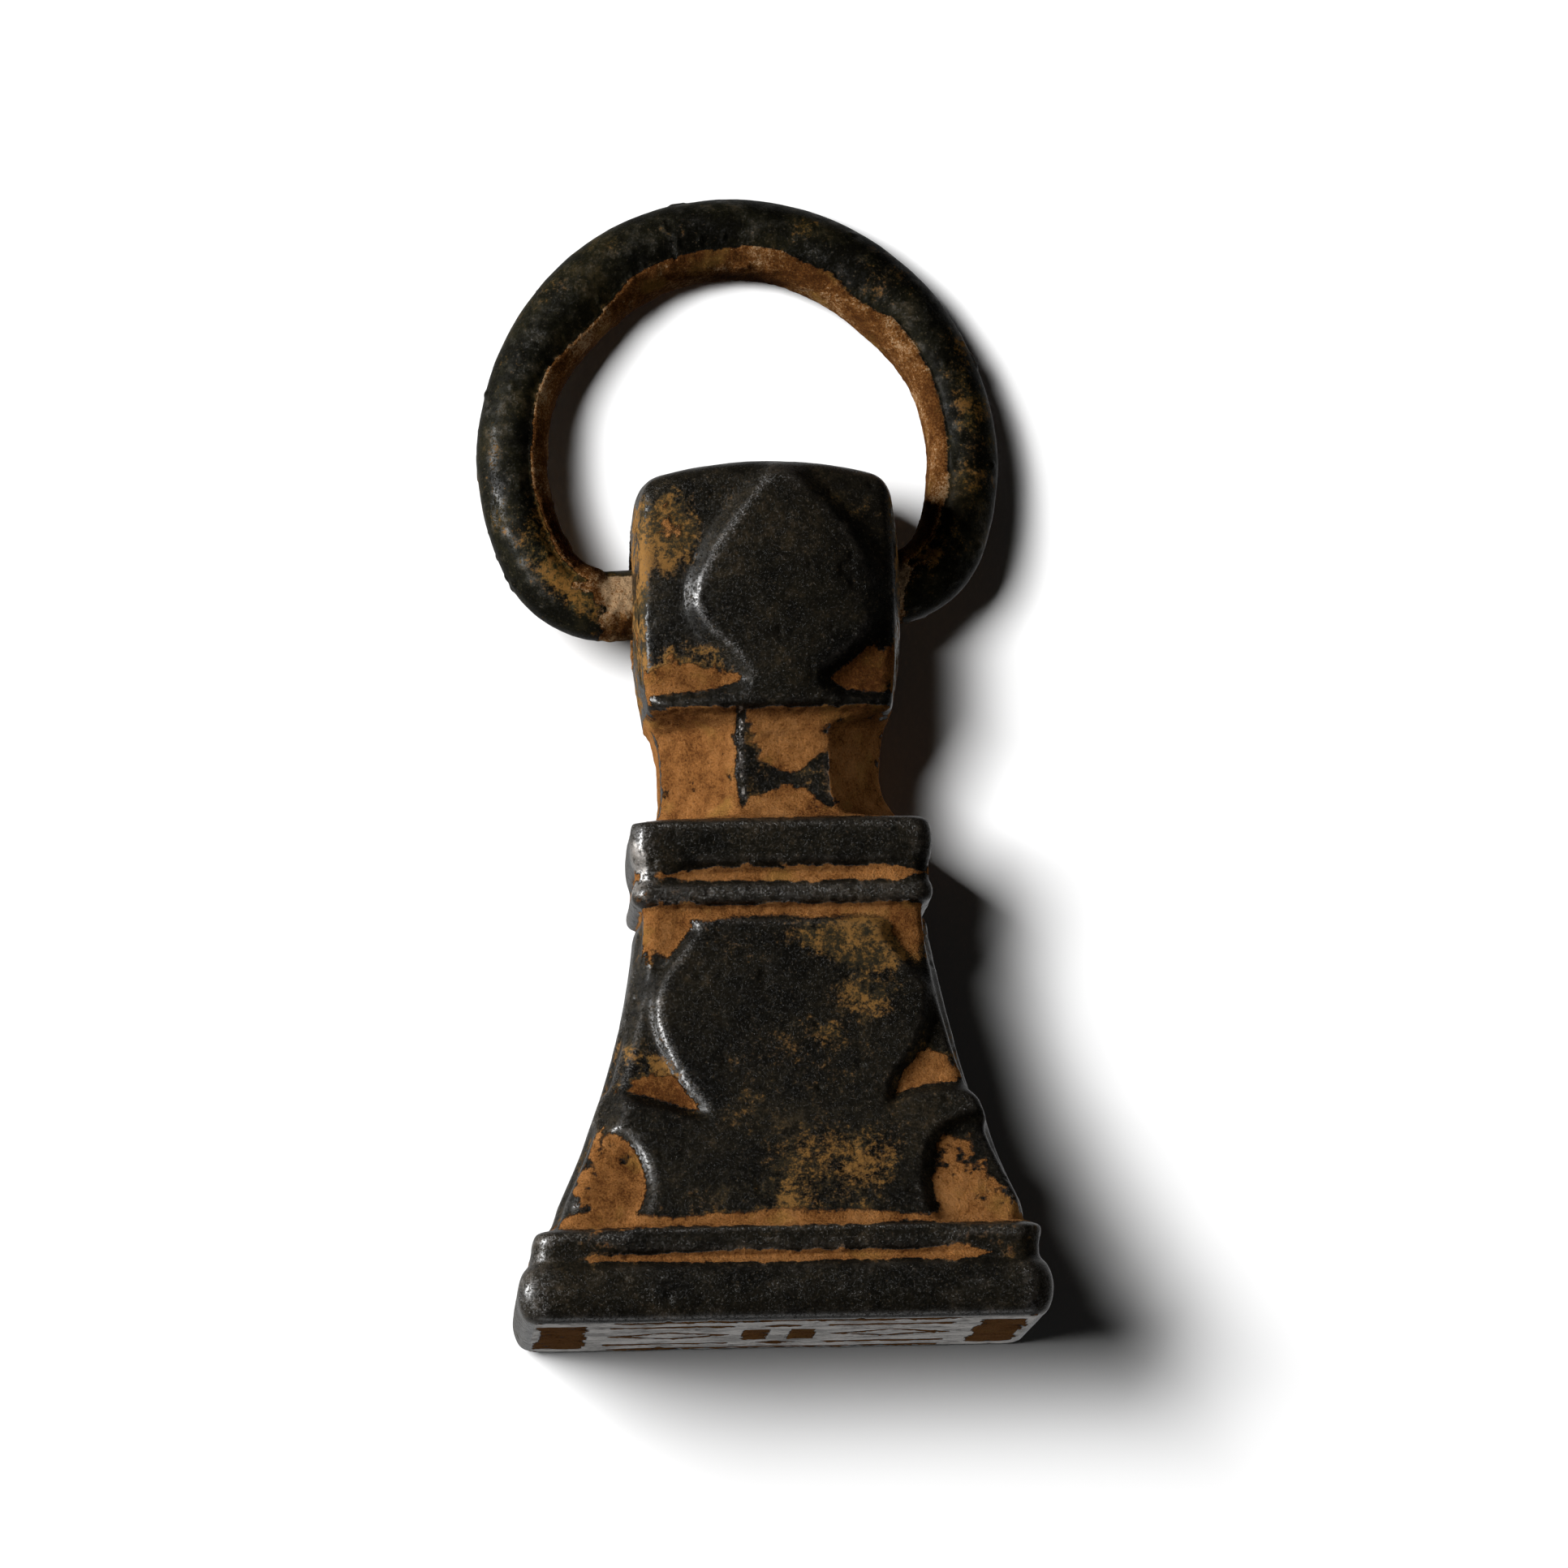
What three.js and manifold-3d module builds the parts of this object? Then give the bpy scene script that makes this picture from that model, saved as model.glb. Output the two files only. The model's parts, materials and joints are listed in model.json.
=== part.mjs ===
// Cast stamp seal with a swinging suspension ring, lying on its back as it is kept.
// Millimetres, +Z up, the long axis along Y, the engraved face towards -Y, the ring towards +Y.
import * as THREE from 'three';
import { mergeVertices } from 'three/addons/utils/BufferGeometryUtils.js';
import Module from 'manifold-3d';

// Plinth: thick rounded bead, groove and thin lip above the engraved face
const plinthHalf = 10;
const faceHalf = 9.55;
const plinthBead = 2.2;
const plinthGroove = 0.5;
const plinthLip = 0.85;
const lipHalf = 9.5;
const plinthCorner = 0.9;

// Flared body between plinth and collar, square in section with concave sides
const bodyHeight = 12.35;
const bodyFootHalf = 8.7;
const bodyWaistHalf = 5.25;
const bodyCorner = 0.25;

// Collar: thin lower bead, groove, thick upper bead
const collarHalf = 5.7;
const collarLower = 0.9;
const collarGroove = 0.65;
const collarUpper = 1.75;
const collarCorner = 0.6;

// Eight-sided neck with a hollowed profile
const neckHeight = 3.55;
const neckHalf = 4.15;
const neckFootHalf = 4.75;
const neckHeadHalf = 4.35;

// Barrel-like head that holds the ring's bore
const shoulderHeight = 0.45;
const headHeight = 10;
const headHalf = 4.7;
const headDepth = 4.9;
const headBulge = 0.55;
const headCorner = 0.35;
const boreRadius = 2.15;
const mouthRadius = 2.45;
const mouthDepth = 0.6;

// Relief, grooves and engraving
const reliefHeight = 0.38;
const grooveDepth = 0.35;
const engravingDepth = 0.55;
const faceRim = 0.75;
const strokeWidth = 0.9;
const overrun = 1.5;

// Suspension ring: a hoop whose ends turn inwards as trunnions that ride loosely in the bore
const ringWidth = 2.7;
const ringThickness = 3;
const sideRoom = 3.42;
const crownReach = 9.15;
const bendRadius = 2.9;
const trunnionLength = 2.65;
const boreClearance = 0.8;
const shoulderTaper = 1.1;

// How the loose ring lies in its bore, slid to one side and slightly askew
const ringPlay = 0.6;
const skewDegrees = 3;
const leanDegrees = 2.5;

// Levels along the axis, counted from the engraved face
const grooveLevel = plinthBead;
const lipLevel = grooveLevel + plinthGroove;
const bodyLevel = lipLevel + plinthLip;
const collarLevel = bodyLevel + bodyHeight;
const collarGrooveLevel = collarLevel + collarLower;
const collarUpperLevel = collarGrooveLevel + collarGroove;
const neckLevel = collarUpperLevel + collarUpper;
const shoulderLevel = neckLevel + neckHeight;
const headLevel = shoulderLevel + shoulderHeight;
const headTop = headLevel + headHeight;
const boreLevel = (headLevel + headTop) / 2;

// What the ring takes from the head that carries it
const boreHalfLength = headHalf + headBulge;
const trunnionRadius = boreRadius - boreClearance;
const trunnionEnd = boreHalfLength - trunnionLength;
const bendReach = boreHalfLength;
const hoopHalf = boreHalfLength + sideRoom;
const hoopRise = bendRadius + Math.sqrt((hoopHalf - bendRadius) ** 2 - bendReach ** 2);

const wasm = await Module();
wasm.setup();

function toManifold(geometry) {
  const bare = geometry.clone();
  bare.deleteAttribute('normal');
  bare.deleteAttribute('uv');
  const merged = mergeVertices(bare);
  const vertProperties = new Float32Array(merged.attributes.position.array);
  const triVerts = new Uint32Array(merged.index.array);
  return new wasm.Manifold(new wasm.Mesh({ numProp: 3, vertProperties, triVerts }));
}

function toGeometry(solid) {
  const mesh = solid.getMesh();
  const geometry = new THREE.BufferGeometry();
  geometry.setAttribute('position', new THREE.BufferAttribute(mesh.vertProperties, mesh.numProp));
  geometry.setIndex(new THREE.BufferAttribute(mesh.triVerts, 1));
  geometry.computeVertexNormals();
  return geometry;
}

// Closed solid through a row of loops with equal counts, each end closed by a fan
function loftGeometry(loops) {
  const count = loops[0].length;
  const points = loops.flat();
  const faces = [];
  for (let ring = 0; ring + 1 < loops.length; ring += 1) {
    for (let i = 0; i < count; i += 1) {
      const a = ring * count + i;
      const b = ring * count + ((i + 1) % count);
      faces.push(a, b, a + count, b, b + count, a + count);
    }
  }
  const lastStart = (loops.length - 1) * count;
  const firstCentre = points.length;
  points.push(centroid(loops[0]), centroid(loops[loops.length - 1]));
  for (let i = 0; i < count; i += 1) {
    const next = (i + 1) % count;
    faces.push(firstCentre, next, i);
    faces.push(firstCentre + 1, lastStart + i, lastStart + next);
  }
  const geometry = new THREE.BufferGeometry().setFromPoints(points);
  geometry.setIndex(faces);
  geometry.computeVertexNormals();
  return geometry;
}

function centroid(loop) {
  const sum = new THREE.Vector3();
  loop.forEach((point) => sum.add(point));
  return sum.divideScalar(loop.length);
}

// Four-sided section across the axis: half width, half depth, corner cut and side bulge.
// Rounding 1 makes the corners round and 0 leaves them as straight chamfers.
function sectionLoop({ level, half, depth, cut, rounding, bulge }) {
  const corner = (sx, sz) => {
    const straight = cut / 2;
    const round = cut * (1 - Math.SQRT1_2);
    const inset = THREE.MathUtils.lerp(straight, round, rounding);
    const points = [
      [half - cut, depth],
      [half - inset, depth - inset],
      [half, depth - cut],
    ];
    const ordered = sx * sz > 0 ? points : points.reverse();
    return ordered.map(([x, z]) => new THREE.Vector3(sx * x, level, sz * z));
  };
  const sideShares = [0.5, 0, -0.5];
  const side = (sx) => sideShares.map((share) => {
    const x = half + bulge * (1 - share * share);
    return new THREE.Vector3(sx * x, level, sx * share * (depth - cut));
  });
  const face = (sz) => sideShares.map((share) => {
    const x = share * (half - cut);
    return new THREE.Vector3(-sz * x, level, sz * depth);
  });
  return [
    ...corner(1, 1), ...side(1), ...corner(1, -1), ...face(-1),
    ...corner(-1, -1), ...side(-1), ...corner(-1, 1), ...face(1),
  ];
}

function square(level, half, cut, rounding = 1) {
  return { level, half, depth: half, cut, rounding, bulge: 0 };
}

// Rounded bead between two levels, swelling from its edge width to its full width
function beadSections(from, to, edgeHalf, fullHalf, cut, steps) {
  const rings = [];
  for (let i = 0; i <= steps; i += 1) {
    const share = i / steps;
    const half = THREE.MathUtils.lerp(edgeHalf, fullHalf, Math.sin(Math.PI * share) ** 0.6);
    rings.push(square(THREE.MathUtils.lerp(from, to, share), half, cut));
  }
  return rings;
}

// Concave flare: shares of the way from the waist's half width to the foot's, foot first
const flareShares = [1, 0.93, 0.79, 0.66, 0.55, 0.44, 0.34, 0.255, 0.175, 0.11, 0.055, 0.015, 0];
function flareSections(raise) {
  return flareShares.map((share, i) => {
    const level = bodyLevel + (bodyHeight * i) / (flareShares.length - 1);
    const half = THREE.MathUtils.lerp(bodyWaistHalf, bodyFootHalf, share) + raise;
    return square(level, half, bodyCorner);
  });
}

// Hollowed eight-sided neck: shares of its flare at each level
const octagonShare = 2 - Math.SQRT2;
function neckSections() {
  const steps = 6;
  const rings = [];
  for (let i = 0; i <= steps; i += 1) {
    const share = i / steps;
    const edgeHalf = share < 0.5 ? neckFootHalf : neckHeadHalf;
    const half = THREE.MathUtils.lerp(neckHalf, edgeHalf, Math.abs(2 * share - 1) ** 2.5);
    rings.push(square(neckLevel + neckHeight * share, half, half * octagonShare, 0));
  }
  return rings;
}

// Head: [height share, half-width share, half-depth share, bulge share]
const headShares = [
  [0, 0.985, 0.965, 0.15], [0.12, 0.995, 0.985, 0.5], [0.3, 1, 1, 0.85], [0.5, 1, 1.01, 1],
  [0.68, 0.995, 1, 0.85], [0.8, 0.985, 0.975, 0.55], [0.88, 0.965, 0.94, 0.3], [0.93, 0.93, 0.9, 0.15],
  [0.97, 0.84, 0.82, 0.05], [0.99, 0.7, 0.68, 0], [1, 0.45, 0.45, 0],
];
function headSections(raise) {
  return headShares.map(([heightShare, halfShare, depthShare, bulgeShare]) => ({
    level: headLevel + headHeight * heightShare,
    half: headHalf * halfShare,
    depth: headDepth * depthShare + raise,
    cut: headCorner,
    rounding: 1,
    bulge: headBulge * bulgeShare,
  }));
}

const plinthSections = [
  ...beadSections(0, plinthBead, faceHalf, plinthHalf, plinthCorner, 6),
  ...beadSections(lipLevel, bodyLevel, lipHalf - grooveDepth, lipHalf, plinthCorner, 4),
];
const collarSections = [
  ...beadSections(collarLevel, collarGrooveLevel, collarHalf - grooveDepth / 2, collarHalf, collarCorner, 4),
  ...beadSections(collarUpperLevel, neckLevel, collarHalf - grooveDepth / 2, collarHalf, collarCorner, 6),
];

function loftSolid(sections) {
  return toManifold(loftGeometry(sections.map(sectionLoop)));
}

// Prism of an outline drawn across the axis (x) and along it (y), running through the whole depth
function prismThrough(shape, reach, turn) {
  const geometry = new THREE.ExtrudeGeometry(shape, { depth: 2 * reach, bevelEnabled: false });
  geometry.translate(0, 0, -reach);
  geometry.rotateY(turn);
  return toManifold(geometry);
}

function mirroredShape(rightPoints) {
  const leftPoints = rightPoints.map(([x, y]) => [-x, y]).reverse();
  return new THREE.Shape([...rightPoints, ...leftPoints].map(([x, y]) => new THREE.Vector2(x, y)));
}

function smoothRun(points, steps) {
  const curve = new THREE.SplineCurve(points.map(([x, y]) => new THREE.Vector2(x, y)));
  return curve.getPoints(steps).map((point) => [point.x, point.y]);
}

// Raised panel of the body, right half: [share of the foot's half width, share of the body's height]
const lobeShares = [
  [0.37, 0.955], [0.5, 0.83], [0.57, 0.745], [0.592, 0.66], [0.54, 0.545], [0.45, 0.45], [0.41, 0.365],
];
const earTopShares = [[0.41, 0.365], [0.54, 0.392], [0.67, 0.41], [0.76, 0.408], [0.95, 0.39]];
const earFootShares = [
  [0.95, 0.35], [0.79, 0.35], [0.705, 0.32], [0.635, 0.262],
  [0.605, 0.2], [0.6, 0.13], [0.63, 0.06], [0.7, 0],
];
const panelFootShare = -0.02;
function panelShape() {
  const place = ([halfShare, heightShare]) => [
    halfShare * bodyFootHalf,
    bodyLevel + heightShare * bodyHeight,
  ];
  return mirroredShape([
    ...smoothRun(lobeShares.map(place), 12),
    ...smoothRun(earTopShares.map(place), 6).slice(1),
    ...smoothRun(earFootShares.map(place), 12),
    place([earFootShares[earFootShares.length - 1][0], panelFootShare]),
  ]);
}

// Raised spade of the head, right half: [share of the half width, share of the head's height]
const spadeShares = [
  [0.02, 0.975], [0.26, 0.875], [0.55, 0.71], [0.72, 0.54],
  [0.76, 0.43], [0.67, 0.31], [0.42, 0.2], [0.32, 0.135],
];
const lipShares = [[0.36, 0.08], [0.56, 0.045], [1.1, 0.025], [1.1, -0.02]];
function spadeShape() {
  const place = ([halfShare, heightShare]) => [halfShare * headHalf, headLevel + heightShare * headHeight];
  return mirroredShape([...smoothRun(spadeShares.map(place), 14), ...lipShares.map(place)]);
}

// Long groove with pointed ends that dies out before the corners
function grooveSolids(level, width, half, endInset) {
  const reach = half - endInset;
  const taper = 4 * width;
  const shape = mirroredShape([
    [reach - taper, level + width / 2],
    [reach, level],
    [reach - taper, level - width / 2],
  ]);
  const cutter = new THREE.ExtrudeGeometry(shape, { depth: grooveDepth + overrun, bevelEnabled: false });
  cutter.translate(0, 0, half - grooveDepth);
  const quarterTurns = [0, 1, 2, 3];
  return quarterTurns.map((turn) => toManifold(cutter.clone().rotateY((turn * Math.PI) / 2)));
}

// Bore across the head with a worn, widened mouth on each side
function boreSolids() {
  const bore = new THREE.CylinderGeometry(boreRadius, boreRadius, 2 * (boreHalfLength + overrun), 32);
  bore.rotateZ(Math.PI / 2);
  const slope = (mouthRadius - boreRadius) / mouthDepth;
  const outerRadius = mouthRadius + slope * overrun;
  const mouth = new THREE.CylinderGeometry(outerRadius, boreRadius, mouthDepth + overrun, 32);
  mouth.rotateZ(-Math.PI / 2);
  mouth.translate(boreHalfLength + (overrun - mouthDepth) / 2, 0, 0);
  const otherMouth = mouth.clone().rotateY(Math.PI);
  return [bore, mouth, otherMouth].map((cutter) => toManifold(cutter.translate(0, boreLevel, 0)));
}

// Engraved face: sunk border bands and plain geometric figures, drawn across (x) and through (y) the face
function rectangle(centreX, centreY, halfX, halfY) {
  const corners = [[-1, -1], [1, -1], [1, 1], [-1, 1]];
  return new THREE.Shape(corners.map(([sx, sy]) =>
    new THREE.Vector2(centreX + sx * halfX, centreY + sy * halfY)));
}

function lozengePoints(centreX, centreY, reach) {
  return [[1, 0], [0, 1], [-1, 0], [0, -1]].map(([sx, sy]) =>
    new THREE.Vector2(centreX + sx * reach, centreY + sy * reach));
}

function lozengeBand(centreX, centreY, reach, width) {
  const shape = new THREE.Shape(lozengePoints(centreX, centreY, reach));
  shape.holes.push(new THREE.Path(lozengePoints(centreX, centreY, reach - width * Math.SQRT2).reverse()));
  return shape;
}

function engravingShapes() {
  const outer = faceHalf - faceRim;
  const blockHalf = strokeWidth;
  const blockCentre = outer - blockHalf;
  const fieldHalf = outer - 2 * blockHalf;
  const bandHalf = strokeWidth / 2;
  const figureCentre = (fieldHalf + strokeWidth) / 2;
  const figureReach = (fieldHalf - strokeWidth) / 2;
  const figureWidth = figureReach - strokeWidth;
  const rowOffset = fieldHalf - 2 * strokeWidth;
  const shapes = [];
  [-1, 1].forEach((side) => {
    shapes.push(rectangle(side * blockCentre, 0, blockHalf, fieldHalf));
    shapes.push(rectangle(0, side * (outer - bandHalf), fieldHalf - strokeWidth, bandHalf));
    shapes.push(rectangle(side * strokeWidth, 0, bandHalf, figureReach));
    shapes.push(lozengeBand(side * figureCentre, 0, figureWidth, bandHalf));
    shapes.push(new THREE.Shape(lozengePoints(0, side * rowOffset, strokeWidth)));
    shapes.push(rectangle(figureCentre, side * rowOffset, figureWidth, bandHalf));
    shapes.push(rectangle(-figureCentre, side * rowOffset, figureWidth, bandHalf));
  });
  return shapes;
}

function engravingSolids() {
  return engravingShapes().map((shape) => {
    const cutter = new THREE.ExtrudeGeometry(shape, { depth: engravingDepth + overrun, bevelEnabled: false });
    cutter.rotateX(Math.PI / 2);
    cutter.translate(0, engravingDepth, 0);
    return toManifold(cutter);
  });
}

function sealBodyGeometry() {
  const quarter = Math.PI / 2;
  const casting = loftSolid([
    ...plinthSections,
    ...flareSections(0),
    ...collarSections,
    ...neckSections(),
    ...headSections(0),
  ]);
  const raisedBody = loftSolid(flareSections(reliefHeight));
  const raisedHead = loftSolid(headSections(reliefHeight));
  const panels = [0, quarter].map((turn) =>
    raisedBody.intersect(prismThrough(panelShape(), plinthHalf, turn)));
  const spades = raisedHead.intersect(prismThrough(spadeShape(), plinthHalf, 0));
  const raised = [...panels, spades].reduce((solid, relief) => solid.add(relief), casting);
  const cutters = [
    ...boreSolids(),
    ...grooveSolids(grooveLevel + plinthGroove / 2, plinthGroove, lipHalf, 2 * plinthCorner),
    ...grooveSolids(collarGrooveLevel + collarGroove / 2, collarGroove, collarHalf, collarCorner),
    ...engravingSolids(),
  ];
  return toGeometry(cutters.reduce((solid, cutter) => solid.subtract(cutter), raised));
}

// Ring section: [outward share of the half width, share of the half thickness], from the outer edge round
const hoopSectionShares = [
  [1, 0], [0.88, 0.46], [0.5, 0.84], [0, 1], [-0.45, 0.96], [-0.82, 0.76], [-0.98, 0.4],
  [-1, 0], [-0.98, -0.4], [-0.82, -0.76], [-0.45, -0.96], [0, -1], [0.5, -0.84], [0.88, -0.46],
];

// Middle line of the ring's right half, from the crown down to the end of its trunnion
function ringHalfLine() {
  const bendStart = Math.atan2(hoopRise - bendRadius, bendReach);
  const crown = new THREE.EllipseCurve(0, hoopRise, hoopHalf, crownReach, Math.PI / 2, 0, true);
  const flank = new THREE.EllipseCurve(0, hoopRise, hoopHalf, hoopHalf, 0, -bendStart, true);
  const bend = new THREE.EllipseCurve(
    bendReach, bendRadius, bendRadius, bendRadius, -bendStart, -Math.PI / 2, true);
  return [
    ...crown.getPoints(20),
    ...flank.getPoints(6).slice(1),
    ...bend.getPoints(9).slice(1),
    new THREE.Vector2((bendReach + trunnionEnd) / 2, 0),
    new THREE.Vector2(trunnionEnd, 0),
  ];
}

function ringGeometry() {
  const right = ringHalfLine();
  const left = right.slice(1).map((point) => new THREE.Vector2(-point.x, point.y)).reverse();
  const line = [...left, ...right];
  const loops = line.map((point, i) => {
    const before = line[Math.max(i - 1, 0)];
    const after = line[Math.min(i + 1, line.length - 1)];
    const along = after.clone().sub(before).normalize();
    const outward = new THREE.Vector2(-along.y, along.x);
    const nearCrown = point.y > hoopRise;
    const full = nearCrown ? 1 : THREE.MathUtils.smoothstep(
      Math.abs(point.x), boreHalfLength, boreHalfLength + shoulderTaper);
    return hoopSectionShares.map(([outShare, upShare]) => {
      const turn = Math.atan2(upShare, outShare);
      const out = THREE.MathUtils.lerp(trunnionRadius * Math.cos(turn), (outShare * ringWidth) / 2, full);
      const up = THREE.MathUtils.lerp(trunnionRadius * Math.sin(turn), (upShare * ringThickness) / 2, full);
      return new THREE.Vector3(point.x + outward.x * out, point.y + outward.y * out, up);
    });
  });
  return loftGeometry(loops);
}

// The seal lies on its back: the line that touches both the plinth bead and the head's raised spade
function restingTilt() {
  const feet = plinthSections.filter(({ level }) => level <= plinthBead);
  const slope = (foot, head) => Math.atan2(foot.depth - head.depth, head.level - foot.level);
  const steepest = (head) => Math.max(...feet.map((foot) => slope(foot, head)));
  return Math.min(...headSections(reliefHeight).map(steepest));
}

const patina = new THREE.MeshStandardMaterial({ color: 0x2b2724, roughness: 0.5, metalness: 0.8 });
const ringPatina = new THREE.MeshStandardMaterial({ color: 0x2e2d24, roughness: 0.55, metalness: 0.75 });

const sealBody = new THREE.Mesh(sealBodyGeometry(), patina);
sealBody.name = 'seal_body';
const suspensionRing = new THREE.Mesh(ringGeometry(), ringPatina);
suspensionRing.name = 'suspension_ring';

// The body tilts on its resting line, and the ring hangs from the bore until it meets the same surface
const tilt = restingTilt();
sealBody.rotation.x = -tilt;
sealBody.position.z = -new THREE.Box3().setFromObject(sealBody, true).min.z;
const pivotHeight = sealBody.position.z - boreLevel * Math.sin(tilt);
suspensionRing.position.set(-ringPlay, boreLevel * Math.cos(tilt), pivotHeight);

function lowestPointAt(droop) {
  const skew = THREE.MathUtils.degToRad(skewDegrees);
  const lean = THREE.MathUtils.degToRad(leanDegrees);
  suspensionRing.rotation.set(-droop, lean, skew, 'XYZ');
  return new THREE.Box3().setFromObject(suspensionRing, true).min.z;
}

function layDown() {
  let above = 0;
  let below = Math.PI / 3;
  while (below - above > Number.EPSILON) {
    const droop = (above + below) / 2;
    if (droop === above || droop === below) {
      break;
    }
    if (lowestPointAt(droop) > 0) {
      above = droop;
    } else {
      below = droop;
    }
  }
  lowestPointAt(above);
}
layDown();

// Origin under the middle of the box that holds the whole object
const seal = new THREE.Group();
seal.add(sealBody, suspensionRing);
const wholeBox = new THREE.Box3().setFromObject(seal, true);
const middle = wholeBox.getCenter(new THREE.Vector3());
seal.position.set(-middle.x, -middle.y, 0);

export default seal;
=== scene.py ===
"""Cast bronze stamp seal with its swinging ring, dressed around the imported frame.

Shapes are worked out in millimetres in the seal's own frame (across x, level s from the engraved
face, depth z) or in the ring's own frame, and placed in the row frame in metres.
"""

import json
import math

import bpy
import numpy as np
from mathutils import Matrix, Vector


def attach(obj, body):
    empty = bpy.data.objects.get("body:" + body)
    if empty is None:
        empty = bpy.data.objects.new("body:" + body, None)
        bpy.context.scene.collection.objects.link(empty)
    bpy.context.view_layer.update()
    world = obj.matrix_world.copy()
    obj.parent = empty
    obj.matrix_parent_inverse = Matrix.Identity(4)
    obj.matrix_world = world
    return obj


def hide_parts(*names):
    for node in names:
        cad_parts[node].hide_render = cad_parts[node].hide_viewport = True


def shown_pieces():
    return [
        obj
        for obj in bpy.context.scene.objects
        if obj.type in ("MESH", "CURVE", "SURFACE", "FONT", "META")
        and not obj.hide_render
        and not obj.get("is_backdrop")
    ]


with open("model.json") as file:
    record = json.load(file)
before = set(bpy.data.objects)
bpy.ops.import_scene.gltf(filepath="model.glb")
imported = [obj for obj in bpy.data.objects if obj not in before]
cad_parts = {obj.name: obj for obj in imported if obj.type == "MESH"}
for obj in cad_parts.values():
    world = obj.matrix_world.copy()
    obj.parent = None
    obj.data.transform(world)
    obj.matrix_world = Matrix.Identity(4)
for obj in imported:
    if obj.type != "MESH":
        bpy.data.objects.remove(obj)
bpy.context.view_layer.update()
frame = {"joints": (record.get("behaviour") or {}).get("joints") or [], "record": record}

MM = 0.001

# Levels along the seal's axis, counted from the engraved face, in millimetres
BEAD_TOP = 2.2
LIP_FOOT = 2.7
BODY_FOOT = 3.55
BODY_TOP = 15.9
COLLAR_GROOVE_FOOT = 16.8
COLLAR_GROOVE_TOP = 17.45
NECK_FOOT = 19.2
NECK_TOP = 22.75
HEAD_FOOT = 23.55
HEAD_TOP = 33.2
BORE_LEVEL = 28.2
BOW_LEVEL = 20.85
SHIFT_RISE = (2.3, 4.5)
SHIFT_FALL = (18.5, 21.0)

# Half widths and depths of the sections, in millimetres
FACE_HALF = 9.55
BEAD_HALF = 10.0
LIP_HALF = 9.5
BODY_FOOT_HALF = 8.7
WAIST_HALF = 5.25
COLLAR_HALF = 5.7
NECK_FOOT_HALF = 4.75
NECK_HALF = 4.15
NECK_HEAD_HALF = 4.35
NECK_TWIST = 0.46
WAIST_SHIFT = 0.3
HEAD_HALF = 4.7
HEAD_DEPTH = 4.9
HEAD_BULGE = 0.55
HEAD_CROWN = 0.4
BORE_RADIUS = 2.15
MOUTH_RADIUS = 2.45
MOUTH_DEPTH = 0.6

# Heights of the relief and depths of the cuts, in millimetres
RELIEF = 0.42
SIDE_RELIEF_SHARE = 0.65
PANEL_SLOPE = 0.6
SPADE_SLOPE = 0.85
GROOVE = 0.35
GROOVE_WIDTH_SHARE = 0.42
LIP_GROOVE_INSET = 1.8
COLLAR_GROOVE_INSET = 0.6
NECK_DISH = 0.1
NECK_DISH_HALF = 1.7
EARTH_FILL = 0.03
EARTH_LOSS = 0.13
FACE_RIM = 0.35
STROKE = 0.9

# Rounded corners, seen along the seal's axis, and rounded edges, in millimetres
PLINTH_ROUND = 0.9
BODY_ROUND = 0.3
COLLAR_ROUND = 0.6
NECK_ROUND = 0.15
HEAD_ROUND = 0.35
TOP_EDGE = 0.8
FACE_EDGE = 0.25
MOUTH_EDGE = 0.3
CUT_EDGE = 0.08
PROFILE_BLUR = 0.07

# Unevenness of the casting and of the earth on it, in millimetres
CASTING_WAVE = 0.05
CASTING_GRAIN = 0.035
PIT_DEPTH = 0.05
EARTH_LIFT = 0.03
EARTH_ROUGH = 0.07

# The ring, in millimetres and degrees
RING_WIDTH = 2.7
RING_THICKNESS = 3.0
CROWN_SHARE = 0.25
HOOP_HALF = 8.67
CROWN_REACH = 9.15
BEND_RADIUS = 2.9
BEND_REACH = 5.25
TRUNNION_RADIUS = 1.35
TRUNNION_END = 2.6
SHOULDER = 5.25
SHOULDER_TAPER = 1.1
RING_PLAY = 0.6
RING_SKEW = 3.0
RING_LEAN = 2.5
RING_WAVE = 0.16
RING_GRAIN = 0.06
RING_CRUST = 0.11
RING_EARTH_ROUGH = 0.09
RING_PIT_DEPTH = 0.06
STEEPEST_DROOP = 60
HALVINGS = 40

# Grid of the seal's field, in millimetres. Rounds of smoothing grow as the grid gets finer.
QUICK_STEP = 0.17
FULL_STEP = 0.1
STEP = FULL_STEP
SOFTENING = (QUICK_STEP / STEP) ** 2
NET_ROUNDS = round(1.7 * SOFTENING)
CURVE_ROUNDS = round(10 * SOFTENING)
CURVE_SCALE = 0.05
NEAR_HOLLOW = 0.3
WIDE_HOLLOW = 0.9
OUTLINE_STEP = 0.1


# Noise: cells of the random table, and the shift between layers in millimetres
NOISE_TABLE = (37, 41, 43)
LAYER_SHIFT = 7.3


def corners_blended(grid, cell, part):
    """Grid values between the eight corners of each cell. The grid goes round at its ends."""
    total = np.zeros(len(cell), part.dtype)
    for corner in np.ndindex(2, 2, 2):
        weight = np.ones(len(cell), part.dtype)
        for axis, high in enumerate(corner):
            weight *= part[:, axis] if high else 1 - part[:, axis]
        index = tuple((cell[:, axis] + high) % grid.shape[axis] for axis, high in enumerate(corner))
        total += weight * grid[index]
    return total


def value_noise(points, size, seed):
    """Smooth random values from 0 to 1 with bumps of about that size, at an array of points."""
    table = np.random.default_rng(seed).random(NOISE_TABLE).astype(np.float32)
    scaled = points / size
    cell = np.floor(scaled).astype(np.int64)
    part = (scaled - cell).astype(np.float32)
    return corners_blended(table, cell, part * part * (3 - 2 * part))


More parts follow.
